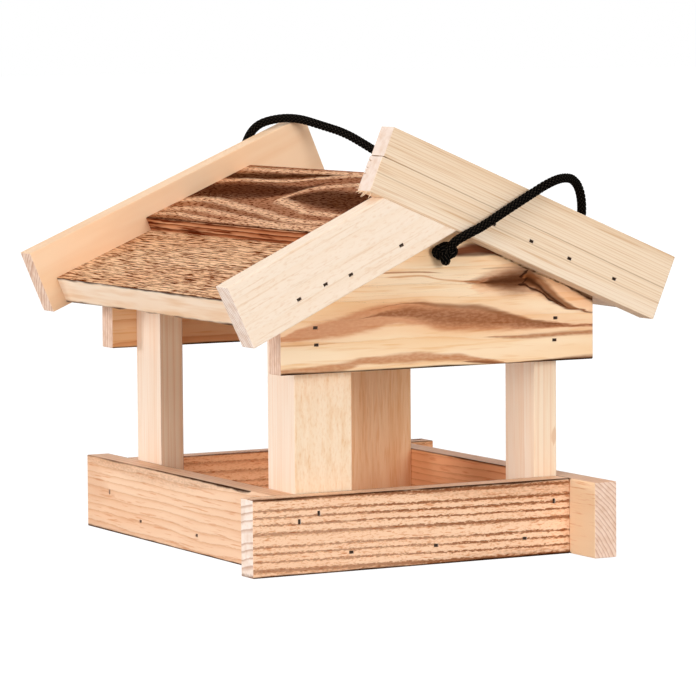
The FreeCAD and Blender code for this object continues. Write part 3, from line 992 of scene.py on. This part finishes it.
flamedArch = {        # the left board shows one wide arch, with pale lines sweeping under it
    **flamedUpper,
    "rings": {**flamedUpper["rings"], "width": 9.0},
    "ringColours": [(0.0, "#b7784f"), (0.5, "#a76a42"), (0.9, "#985c36"), (1.0, "#b7784f")],
    "frayed": (16, 2.2),
    "layers": [
        {"size": (6, 0.85), "ramp": [(0.35, "#7d4c2a"), (0.43, "#c1966f"), (0.49, "#ffffff")], "relief": 1.0},
        {"size": (120, 22), "ramp": [(0.3, "#e8d2bf"), (0.55, "#ffffff")]},
    ],
    "bands": [
        {        # dark fields between the pale lines
            "line": [(-128, 0, 15), (-60, -3, 16), (-20, -6, 11), (0, -12, 6), (20, -25, 0), (128, -25, 0)],
            "core": 0.45, "fray": 4.0, "amount": 0.9, "colour": "#57301c",
        },
        {
            "line": [(-128, 2, 0), (-2, 2, 0), (10, 0, 7), (30, -2, 13), (60, 0, 17), (128, 0, 20)],
            "core": 0.45, "fray": 4.0, "amount": 0.9, "colour": "#542c14",
        },
        {
            "line": [(-128, -23, 6.8), (-85, -24.7, 7.5), (-52, -27.3, 6), (0, -32, 3.9), (128, -34, 3)],
            "core": 0.3, "fray": 4.0, "amount": 0.9, "colour": "#48250f",
        },
        {**paleLine, "line": [(-128, -34.5, 4.2), (-90, -34.5, 4.2), (0, -36, 3.9), (128, -38, 3.9)]},
        {
            **paleLine,
            "line": [
                (-128, -14.8, 3.3), (-98, -18.1, 3.6), (-65, -19.3, 3.3), (-30, -22, 3.3), (-5, -28, 3.6),
                (33, -33.7, 3.6), (128, -42, 1.5),
            ],
        },
        {
            **paleLine,
            "line": [
                (-128, 5, 0), (-10, 5, 0), (-6, 3.5, 7.5), (0, -4.5, 8.4), (5, -9.2, 6.6), (12, -13.2, 5.4),
                (31, -18.3, 4.5), (52, -21.8, 4.2), (128, -30, 3.9),
            ],
        },
        {
            **paleLine,
            "line": [
                (-128, 6, 0), (-10, 6, 0), (-5, 6.6, 5.4), (13, 9.4, 6), (31, 13, 5.1), (55, 18.7, 4.5),
                (75, 19.4, 4.2), (128, 22, 4.2),
            ],
        },
        {
            **paleLine,
            "line": [
                (-128, 16.9, 5.4), (-110, 13.8, 6), (-85, 13.2, 6), (-55, 16.8, 5.7), (-23, 20.7, 5.1),
                (8, 24.4, 5.1), (45, 30.1, 4.8), (71, 31.5, 4.5), (128, 30, 4.5),
            ],
        },
        {
            **paleLine,
            "line": [
                (-128, 30, 4.5), (-92, 27.1, 4.8), (-64, 28.5, 4.8), (-28, 31.8, 4.5), (8, 35.1, 4.2),
                (36, 37.5, 4.2), (66, 38.4, 4.2), (128, 37, 4.2),
            ],
        },
        {
            **paleLine,
            "line": [
                (-128, 38, 3.3), (-97, 35.8, 3.6), (-66, 38.3, 3.6), (-38, 39.6, 3.3), (18, 40.7, 3.3),
                (60, 42, 3), (128, 42, 3),
            ],
        },
        {        # soot along the lower edge
            "line": [(-128, 45, 2.6), (-32, 45, 2.4), (64, 45, 2.6), (128, 45, 2.4)],
            "core": 0.3, "fray": 3.0, "amount": 0.85, "colour": "#40241a",
        },
    ],
}
flamedStep = {
    **flamedLower,
    "rings": {"pith": (45, -160), "width": 3.4, "sway": [(3.0, (120, 30)), (1.2, (16, 2.4))], "uneven": 0.8},
    "ringColours": [
        (0.0, "#d79d72"), (0.4, "#c38459"), (0.7, "#995936"), (0.9, "#64351c"), (1.0, "#ce946a"),
    ],
    "layers": [
        {"size": (30, 2.0), "ramp": [(0.34, "#8f5f45"), (0.5, "#ffffff")], "relief": 0.8},
        {"size": (140, 12), "ramp": [(0.3, "#d9ad90"), (0.6, "#ffffff")]},
    ],
}
eaveEdge = {
    **planed,
    "rings": {"pith": (-300, 60), "width": 7.0, "sway": [(5.0, (150, 30)), (0.6, (12, 1.4))], "uneven": 0.8},
    "ringColours": [
        (0.0, "#fce6cf"), (0.55, "#fbe3cb"), (0.85, "#f8dabd"), (0.95, "#f2cfae"), (1.0, "#fce5ce"),
    ],
    "layers": [{"size": (50, 4), "ramp": [(0.3, "#f5e6d5"), (0.55, "#ffffff")], "relief": 0.4}],
    "arris": {
        "reach": 45.8, "width": 1.3, "uneven": 3.2, "patch": (22, 4),
        "amount": 0.94, "colour": "#44230f",
    },
}
brushedPine = pine("flamedBrushedRoofPine", flamedLower)        # tan, brushed to short dark dashes
flamedUpperPine = pine("flamedRoofPine", flamedUpper)        # dark brown arches between pale lines
flamedArchPine = pine("flamedArchRoofPine", flamedArch)        # one wide dark arch with pale lines round it
stepPine = pine("flamedStepPine", flamedStep)        # dark red edge in streaks
eavePine = pine("sawnEavePine", eaveEdge)        # cream saw cut with broken dark arrises
wane = {
    "cuts": 64,        # across each long edge
    "longEdge": 200,        # mm, edges past this length are cut
    "inwards": 0.5,        # share of the wear that goes in from the eave
    "near": 0.01,        # mm, what counts as on the corner
    "worn": [        # mm along the eave from its middle, and how far the lower corner is worn there
        (-129, 0.0), (-110, 0.1), (-80, 0.4), (-45, 0.2), (-12, 0.7), (0, 0.2), (10, 0.6), (22, 1.2),
        (35, 0.9), (45, 0.1), (75, 0.5), (110, 0.2), (129, 0.0),
    ],
}


def wearEave(piece):        # bark edge: the eave's lower corner falls away unevenly
    pick(piece)
    bpy.ops.object.mode_set(mode="EDIT")
    bpy.ops.mesh.select_mode(type="EDGE")
    bpy.ops.mesh.select_all(action="DESELECT")
    bpy.ops.object.mode_set(mode="OBJECT")
    for edge in piece.data.edges:
        a, b = (piece.data.vertices[number].co for number in edge.vertices)
        edge.select = abs(a.x - b.x) > wane["longEdge"] * mm
    bpy.ops.object.mode_set(mode="EDIT")
    bpy.ops.mesh.subdivide(number_cuts=wane["cuts"])
    bpy.ops.object.mode_set(mode="OBJECT")
    low = min(vertex.co.z for vertex in piece.data.vertices)
    outer = max(vertex.co.y for vertex in piece.data.vertices)
    for vertex in piece.data.vertices:
        if vertex.co.z > low + wane["near"] * mm or vertex.co.y < outer - wane["near"] * mm:
            continue
        x = vertex.co.x / mm
        for (start, first), (stop, last) in zip(wane["worn"], wane["worn"][1:]):
            if start <= x <= stop:
                worn = first + (last - first) * (x - start) / (stop - start)
        vertex.co.z += worn * mm
        vertex.co.y -= wane["inwards"] * worn * mm


makeBoard(
    {
        "name": "roofLowerRight",
        "node": "roof_lower_right",
        "slot": "flamed_pine",
        "size": (roof["depth"], roof["eave"] - roof["step"], roof["lowerThick"]),
        "centre": onSlope((roof["step"] + roof["eave"]) / 2, roof["lowerThick"] / 2),
        "along": toFront,
        "across": downSlope,
        "shape": wearEave,
        "looks": {"face": brushedPine, "end": postEnd, "edge": eavePine, "back": eavePine},
        "twin": ("roofLowerLeft", "roof_lower_left"),
    }
)
makeBoard(
    {
        "name": "roofUpperRight",
        "node": "roof_upper_right",
        "slot": "flamed_pine",
        "size": (roof["depth"], roof["step"] + roof["spare"], roof["upperThick"]),
        "centre": onSlope((roof["step"] - roof["spare"]) / 2, roof["upperThick"] / 2),
        "along": toFront,
        "across": downSlope,
        "cuts": [(peak, -toRight)],
        "looks": {"face": flamedUpperPine, "end": postEnd, "edge": stepPine, "back": eavePine},
        "twin": ("roofUpperLeft", "roof_upper_left"),
        "twinLooks": {"face": flamedArchPine},
    }
)

# Barge boards: planed pine, the long one straight-grained, the short one almost white
longBarge = {
    **planed,
    "rings": {
        "pith": (-140, -40),
        "width": 1.7,
        "sway": [(1.4, (300, 40)), (0.2, (25, 1.5))],
        "uneven": 1.2,
        "tilt": (0, 0.5),
    },
    "ringColours": [
        (0.0, "#f4dcc0"), (0.5, "#f2d9bc"), (0.78, "#edd0ae"), (0.92, "#e2c19d"), (1.0, "#f3dabe"),
    ],
    "layers": [
        {"size": (70, 1.2), "ramp": [(0.30, "#ecdccb"), (0.44, "#ffffff")], "relief": 0.4},
        {"size": (220, 9), "ramp": [(0.3, "#faf2e9"), (0.55, "#ffffff")]},
    ],
    "bands": [        # darker along the top, paler along the bottom, and two brown lines between
        {
            "line": [(-111, 20.5, 6), (0, 20, 6), (111, 19.6, 5)],
            "core": 0.1, "fray": 2.0, "amount": 0.35, "colour": "#dfbd97",
        },
        {
            "line": [(-111, 2, 0.7), (0, 1, 0.5), (111, -0.2, 0.7)],
            "core": 0.2, "fray": 0.5, "amount": 0.5, "colour": "#a07a55",
        },
        {
            "line": [(-111, -8.5, 0.6), (0, -9.4, 0.6), (111, -10.4, 0.6)],
            "core": 0.2, "fray": 0.5, "amount": 0.4, "colour": "#b48e68",
        },
        {
            "line": [(-111, -19, 5), (0, -18, 6), (60, -17, 8), (111, -16, 9)],
            "core": 0.1, "fray": 2.0, "amount": 0.4, "colour": "#f8e4cd",
        },
    ],
}
plainBarge = {
    **planed,
    "rings": {"pith": (-60, -160), "width": 8.0, "sway": [(8.0, (240, 40)), (0.4, (12, 1.5))], "uneven": 0.9},
    "ringColours": [(0.0, "#f8d3ae"), (0.6, "#f8d2ac"), (0.9, "#f6cea7"), (1.0, "#f8d3ae")],
    "layers": [{"size": (90, 14), "ramp": [(0.3, "#fbf2e8"), (0.55, "#ffffff")]}],
}
shortBarge = {
    **planed,
    "rings": {"pith": (-60, -160), "width": 4.5, "sway": [(6.0, (220, 40)), (0.8, (12, 2.5))], "uneven": 0.9},
    "ringColours": [(0.0, "#fae6d1"), (0.6, "#fae5cf"), (0.9, "#f8e1c9"), (1.0, "#fae6d1")],
    "layers": [
        {"size": (4.0, 1.2), "ramp": [(0.30, "#f8f1ea"), (0.42, "#fdfbf9"), (0.5, "#ffffff")], "relief": 0.4},
        {"size": (50, 1.6), "ramp": [(0.30, "#f6eee5"), (0.42, "#ffffff")]},
    ],
    "relief": 0.2,
    "roughness": 0.7,
}
torn = {
    **endGrain,
    "ringColours": [(0.0, "#eedbcd"), (0.85, "#ebd6c8"), (1.0, "#eedacc")],
    "layers": [{"size": (14, 6), "ramp": [(0.3, "#f5ece3"), (0.55, "#ffffff")], "relief": 1.0}],
    "relief": 0.4,
}
tornEnd = {**turnedRings(withoutScorch(longBarge), width=6.0), **torn}
farEnd = {**turnedRings(withoutScorch(longBarge), width=3.0, pith=(-60, -60), sway=calm), **pinkEnd}
shortEnd = {**turnedRings(shortBarge, width=2.2, sway=calm), **endGrain}
longBargePine = pine("planedStraightPine", longBarge)        # smooth straw with fine straight lines
plainBargePine = pine("planedPlainPine", plainBarge)        # smooth and warm, hardly marked
shortBargePine = pine("planedPalePine", shortBarge)        # almost white, with short faint dashes
tornEndPine = pine("pineEndGrainTorn", tornEnd)        # pale pink and matt where the wood broke
farEndPine = pine("pineEndGrainPink", farEnd)        # pink saw cut with arcs
shortEndPine = pine("pineEndGrainPale", shortEnd)        # whitish saw cut with narrow brown arcs
tear = {        # mm, on the block before it is set in place
    "end": -111.0,
    "crack": (1.9, 16.0, 0.6),        # height on the end, depth, half width
    "crackStretch": 24,        # so that the crack goes through the thickness
    "shaved": 0.9,        # how far the part above the crack is broken back
    "block": 30.0,        # size of the block that takes it off
    "nicks": [(-1.4, 4.2), (-6.2, 3.2), (-8.4, 2.6), (-10.0, 3.4)],        # height, reach from the back edge
    "nickDeep": 2.0,
    "nickWide": 0.6,
    "tip": 0.1,        # radius of a splinter's tip
    "splinters": [        # place along, across and through, length, thickness, degrees down from straight out
        (-109.6, -17.2, -7.0, 3.4, 1.3, 8), (-109.4, -19.0, -6.6, 4.2, 1.5, 22),
        (-109.4, -20.2, -5.2, 4.6, 1.6, 38), (-109.4, -20.3, -3.0, 4.4, 1.5, 48),
        (-109.2, -20.4, -0.6, 5.2, 1.5, 66), (-108.8, -20.4, 1.6, 5.8, 1.4, 60),
        (-109.2, -20.4, 3.6, 4.4, 1.3, 52), (-107.4, -20.5, 4.4, 4.8, 1.2, 76),
        (-109.2, -20.3, 6.0, 3.4, 1.2, 40),
    ],
}


def tearEnd(piece):        # the end past the ridge was snapped off: a crack, a step, nicks and splinters
    height, deep, wide = tear["crack"]
    end = tear["end"]
    block = tear["block"]
    deselectAll()
    spot = Vector((end, height + block / 2, 0)) * mm
    bpy.ops.mesh.primitive_cube_add(size=mm, location=spot, scale=(2 * tear["shaved"], block, block))
    combine(piece, bpy.context.object)
    deselectAll()
    bpy.ops.mesh.primitive_cone_add(vertices=4, radius1=wide * mm, radius2=0, depth=deep * mm)
    wedge = bpy.context.object
    place = Matrix.Translation(Vector((end + deep / 2, height, 0)) * mm)
    turn = Matrix.Rotation(math.pi / 2, 4, "Y")
    wedge.matrix_world = place @ turn @ Matrix.Diagonal((tear["crackStretch"], 1, 1, 1))
    bpy.ops.object.transform_apply(location=True, rotation=True, scale=True)
    combine(piece, wedge)
    for y, reach in tear["nicks"]:
        deselectAll()
        spot = Vector((end, y, -roof["bargeThick"] / 2)) * mm
        size = (2 * tear["nickDeep"], tear["nickWide"], 2 * reach)
        bpy.ops.mesh.primitive_cube_add(size=mm, location=spot, scale=size)
        combine(piece, bpy.context.object)
    for x, y, z, long, thick, lean in tear["splinters"]:
        deselectAll()
        out = Vector((-math.cos(math.radians(lean)), -math.sin(math.radians(lean)), 0))
        spot = (Vector((x, y, z)) + out * (long / 2)) * mm
        turn = out.to_track_quat("Z", "Y").to_euler()
        size = {"radius1": thick / 2 * mm, "radius2": tear["tip"] * mm, "depth": long * mm}
        bpy.ops.mesh.primitive_cone_add(vertices=5, location=spot, rotation=turn, **size)
        combine(piece, bpy.context.object, "UNION")


bargeOut = toFront * (roof["depth"] + roof["bargeThick"]) / 2        # middle of the barge boards' thickness
makeBoard(
    {
        "name": "bargeFrontLong",
        "node": "barge_front_long",
        "slot": "planed_pine",
        "size": (221.98, 42.5, roof["bargeThick"]),
        "centre": onSlope(49, 19.25) + bargeOut,
        "along": downSlope,
        "across": offSlope,
        "brads": [(-21.6, -7.95), (7.8, -7.95), (37.8, -7.95), (73.6, -7.95)],
        "wear": tearEnd,
        "looks": {"face": longBargePine, "end": tornEndPine, "back": plainBargePine},
        "twin": ("bargeBackLong", "barge_back_long"),
        "twinShift": 330,
        "twinLooks": {"face": shortBargePine, "edge": plainBargePine, "end": farEndPine},
    }
)
short = {        # mm, for boards nailed on a little steeper than the roof
    "pitch": 25.3,        # degrees
    "long": 160.0,        # before the cut
    "wide": 41.4,
    "below": 7.6,        # lower edge under the roof boards at the step
    "gap": 2.0,        # to the long board
}
steep = math.radians(short["pitch"])
shortUp = Vector((math.cos(steep), 0, math.sin(steep)))
shortAcross = Vector((-math.sin(steep), 0, math.cos(steep)))
shortStep = onSlope(roof["step"], -short["below"])        # lower edge at the step, on the left slope
shortStep.x = -shortStep.x
makeBoard(
    {
        "name": "bargeFrontShort",
        "node": "barge_front_short",
        "slot": "planed_pine",
        "size": (short["long"], short["wide"], roof["bargeThick"]),
        "centre": shortStep + shortAcross * (short["wide"] / 2) + bargeOut,
        "along": shortUp,
        "across": shortAcross,
        "cuts": [(onSlope(0, -short["gap"]), offSlope)],
        "brads": [(37, -10.9), (-2, -10.9), (-20, -8.2), (-40, -8.0)],
        "looks": {"face": shortBargePine, "end": shortEndPine, "back": plainBargePine},
        "twin": ("bargeBackShort", "barge_back_short"),
        "twinShift": 330,
    }
)
print("boards made")

# Brads: the CAD nodes stay, as drawn steel wire gone dull
bradSteel = {
    "tones": [(0.35, "#2e231b"), (0.65, "#54443a")],
    "mottle": 0.7,        # mm
    "metallic": 0.9,
    "roughness": 0.5,
}
wireMaterial, tree = newTree("dullSteelWire")        # dark grey with a faint gleam
spot = addNode(tree, "TexCoord", None, None, "Object")
mottle = addNode(tree, "TexNoise", {"Scale": 1 / (bradSteel["mottle"] * mm), "Detail": 2.0}, {"Vector": spot})
tone = addNode(tree, "ValToRGB", {"ramp": bradSteel["tones"]}, {0: mottle})
gloss = {"Metallic": bradSteel["metallic"], "Roughness": bradSteel["roughness"]}
shader = addNode(tree, "BsdfPrincipled", gloss, {"Base Color": tone})
addNode(tree, "OutputMaterial", None, {"Surface": shader})
for name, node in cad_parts.items():
    if name.endswith("_brads"):
        node.data.materials.clear()
        node.data.materials.append(wireMaterial)
print("brads finished")

# Cord: a black braid of eight strands each way, drawn as one tube whose surface carries the crossing strands
cord = {
    "diameter": 6.0,
    "strands": 8,
    "turn": 25.0,        # mm along the cord for one turn of a strand
    "swell": 0.24,        # height of the strands, share of the radius
    "around": 48,
    "ring": 0.52,        # mm between rings of vertices
    "smooth": 24,        # points of the drawn line for each point of a route
    "tones": [(0.6, "#010101"), (0.82, "#050403"), (0.98, "#3a322a")],        # black up to the top of a strand, where a painted highlight brightens it
    "roughness": 0.7,
    "shine": 0.02,
    "height": 192.829,        # mm, of the holes in the gables
    "tails": [(128, 123, 118, 113), (104, 99, 94, 89.6)],        # mm, in a gable and past the stopper
    "route": [        # mm, from knot to knot as in the CAD model
        (0, -135, 192.83), (0.5, -142.6, 200.6), (7.5, -149.8, 206.3), (17.5, -150.3, 210.4),
        (33, -149.8, 218.8), (52, -149.1, 228.7), (68, -147.8, 236.6), (84, -140.1, 239.3),
        (98, -130, 236.3), (106, -124, 226), (109.5, -118.5, 211), (110.5, -109.2, 199.5),
        (109.5, -99, 193.5), (107, -79, 190.5), (103.5, -56, 192.2), (99, -33, 196), (92.5, -11, 203.5),
        (84.5, 10, 215), (75.5, 30, 229.5), (66, 49, 243.5), (57, 68, 254), (50, 86, 262.5),
        (42.5, 106, 267.3), (33, 123, 272.3), (22.5, 137, 271.6), (13, 148.5, 266.5), (7.5, 153.6, 252),
        (4, 153.6, 234), (2, 153, 216), (0.5, 148.2, 200.4), (0, 135, 192.83),
    ],
}


def smoothLine(points, closed=False):        # points along the NURBS spline of a route
    curve = bpy.data.curves.new("cordLine", "CURVE")
    curve.dimensions = "3D"
    curve.resolution_u = cord["smooth"]
    spline = curve.splines.new("NURBS")
    spline.points.add(len(points) - 1)
    for control, point in zip(spline.points, points):
        control.co = [value * mm for value in point] + [1.0]
    spline.order_u = 3
    spline.use_cyclic_u = closed
    spline.use_endpoint_u = not closed
    holder = bpy.data.objects.new("cordLine", curve)
    line = bpy.data.meshes.new_from_object(holder)
    found = [vertex.co.copy() for vertex in line.vertices]
    bpy.data.objects.remove(holder)
    bpy.data.meshes.remove(line)
    return found + found[:1] if closed else found


def evenly(line, step):        # the same line, with points a step apart
    steps = [(b - a).length for a, b in zip(line, line[1:])]
    count = max(2, round(sum(steps) / step))
    places, gone, part = [], 0.0, 0
    for number in range(count + 1):
        wanted = sum(steps) * number / count
        while part < len(steps) - 1 and gone + steps[part] < wanted:
            gone += steps[part]
            part += 1
        share = (wanted - gone) / max(steps[part], 1e-9)
        places.append(line[part].lerp(line[part + 1], min(1.0, share)))
    return places


def braid(name, lines):        # braided tubes along smooth lines, as one mesh
    vertices, faces, crowns = [], [], []
    around, radius = cord["around"], cord["diameter"] / 2 * mm
    for line in lines:
        path = evenly(line, cord["ring"] * mm)
        ahead = (path[1] - path[0]).normalized()
        side = ahead.orthogonal().normalized()
        first = len(vertices)
        for number, point in enumerate(path):
            new = (path[min(number + 1, len(path) - 1)] - path[max(number - 1, 0)]).normalized()
            side = (ahead.rotation_difference(new) @ side).normalized()
            ahead = new
            other = ahead.cross(side)
            for step in range(around):
                angle = 2 * math.pi * step / around
                one = cord["strands"] * (step / around + number * cord["ring"] / cord["turn"])
                two = cord["strands"] * (step / around - number * cord["ring"] / cord["turn"])
                over = one if (math.floor(one) + math.floor(two)) % 2 else two
                crown = abs(math.sin(math.pi * over))
                swell = 1 - cord["swell"] * (1 - crown)
                crowns.append(crown)
                reach = (side * math.cos(angle) + other * math.sin(angle)) * radius * swell
                vertices.append(point + reach)
        for number in range(len(path) - 1):
            for step in range(around):
                a = first + number * around + step
                b = first + number * around + (step + 1) % around
                faces.append((a, b, b + around, a + around))
        last = first + (len(path) - 1) * around
        faces.append([first + step for step in reversed(range(around))])
        faces.append([last + step for step in range(around)])
    mesh = bpy.data.meshes.new(name)
    mesh.from_pydata(vertices, [], faces)
    mesh.shade_smooth()
    strand = mesh.attributes.new("strand", "FLOAT", "POINT")        # 1 on top of a strand, 0 between strands
    strand.data.foreach_set("value", crowns)
    piece = bpy.data.objects.new(name, mesh)
    bpy.context.collection.objects.link(piece)
    return piece


braidMaterial, tree = newTree("blackPolypropyleneBraid")        # black, with a painted dull highlight on the top of each strand
strand = addNode(tree, "Attribute", {"attribute_name": "strand"}, None, "Fac")
# painted highlight: the tone brightens towards the top of each strand
tone = addNode(tree, "ValToRGB", {"ramp": cord["tones"]}, {0: strand})
gloss = {"Roughness": cord["roughness"], "Specular IOR Level": cord["shine"]}
shader = addNode(tree, "BsdfPrincipled", gloss, {"Base Color": tone})
addNode(tree, "OutputMaterial", None, {"Surface": shader})


def onCord(piece, node):
    piece.data.materials.append(braidMaterial)
    fixOn(piece, node)
    return piece


cordLine = smoothLine(cord["route"])
hangingCord = onCord(braid("hangingCord", [cordLine]), "hanging_cord")
knot = {        # mm, overhand knots drawn tight
    "size": 1.74,
    "depth": 3.6,
    "points": 24,
    "each": [        # middle, turn in radians and how far it is raised
        (-135, 0.1, 1.6), (135, 1.1, 0), (-106, 2.1, 0), (106, 3.1, 0),
    ],
}


def knotLine(middle, turn, raised):        # three lobes that pass over and under each other
    points = []
    low = cord["height"] + raised
    for number in range(knot["points"]):
        t = 2 * math.pi * number / knot["points"]
        x = knot["size"] * (math.sin(t) + 2 * math.sin(2 * t))
        z = knot["size"] * (math.cos(t) - 2 * math.cos(2 * t))
        y = middle + knot["depth"] * -math.sin(3 * t)
        side = x * math.cos(turn) - z * math.sin(turn)
        points.append((side, y, low + x * math.sin(turn) + z * math.cos(turn)))
    return smoothLine(points, True)


knots = onCord(braid("cordKnots", [knotLine(*place) for place in knot["each"]]), "cord_knots")
tails = []
for side in (-1, 1):
    for tail in cord["tails"]:
        tails.append(smoothLine([(0, side * y, cord["height"]) for y in tail]))
cordEnds = onCord(braid("cordEnds", tails), "cord_ends")
print("cord laid")

# Studio: a lit white table, soft lamps far off to the left and in front, and a white sky
studio = {
    "floor": 40.0,        # m across
    "floorDrop": 0.3,        # mm under the tray, so that the two don't meet
    "floorColour": "#b4b2b0",
    "floorRoughness": 0.9,
    "floorGlow": 0.12,
    "floorSeen": (0.82, 1.2),        # share and strength of the white that the camera sees over it
    "sky": 0.3,
    "skySeen": 1.0,        # to the camera
    "lampDistance": 3.0,        # m
    "lamps": [        # where each stands, its strength and how many degrees across it looks
        ("leftLamp", (-0.94, -0.34, 0.2), 1.12, 30),
        ("farLeftLamp", (-0.85, 0.5, 0.09), 1.0, 14),
        ("frontLamp", (0.06, -1.0, 0.2), 1.38, 20),
        ("topLamp", (-0.35, -0.15, 1.0), 0.98, 60),
        ("backLamp", (0.5, 1.0, 0.5), 0.5, 45),
    ],
}
deselectAll()
bpy.ops.mesh.primitive_plane_add(size=studio["floor"], location=(0, 0, -studio["floorDrop"] * mm))
floor = bpy.context.object
floor.name = "studioFloor"
floorMaterial, tree = newTree("litWhiteTable")        # even white with a soft shadow
matt = {"Base Color": linear(studio["floorColour"]), "Roughness": studio["floorRoughness"]}
glow = {"Emission Color": (1, 1, 1, 1), "Emission Strength": studio["floorGlow"]}
table = addNode(tree, "BsdfPrincipled", {**matt, **glow})
white = addNode(tree, "Emission", {"Strength": studio["floorSeen"][1]})
seen = addNode(tree, "LightPath", None, None, "Is Camera Ray")
share = addNode(tree, "Math", {"operation": "MULTIPLY", 1: studio["floorSeen"][0]}, {0: seen})
shader = addNode(tree, "MixShader", None, {0: share, 1: table, 2: white})
addNode(tree, "OutputMaterial", None, {"Surface": shader})
floor.data.materials.append(floorMaterial)
for name, place, strength, angle in studio["lamps"]:
    bpy.ops.object.light_add(type="SUN", location=Vector(place) * studio["lampDistance"])
    lamp = bpy.context.object
    lamp.name = name
    lamp.data.energy = strength
    lamp.data.angle = math.radians(angle)
    lamp.rotation_euler = (-Vector(place)).to_track_quat("-Z", "Y").to_euler()
world = bpy.data.worlds.new("studioWorld")
bpy.context.scene.world = world
world.use_nodes = True
tree = world.node_tree
tree.nodes.clear()
seen = addNode(tree, "LightPath", None, None, "Is Camera Ray")
strength = addNode(tree, "MapRange", {"To Min": studio["sky"], "To Max": studio["skySeen"]}, {"Value": seen})
sky = addNode(tree, "Background", {"Color": (1, 1, 1, 1)}, {"Strength": strength})
addNode(tree, "OutputWorld", None, {"Surface": sky})
bpy.context.scene.view_settings.view_transform = "Standard"
print("studio set")
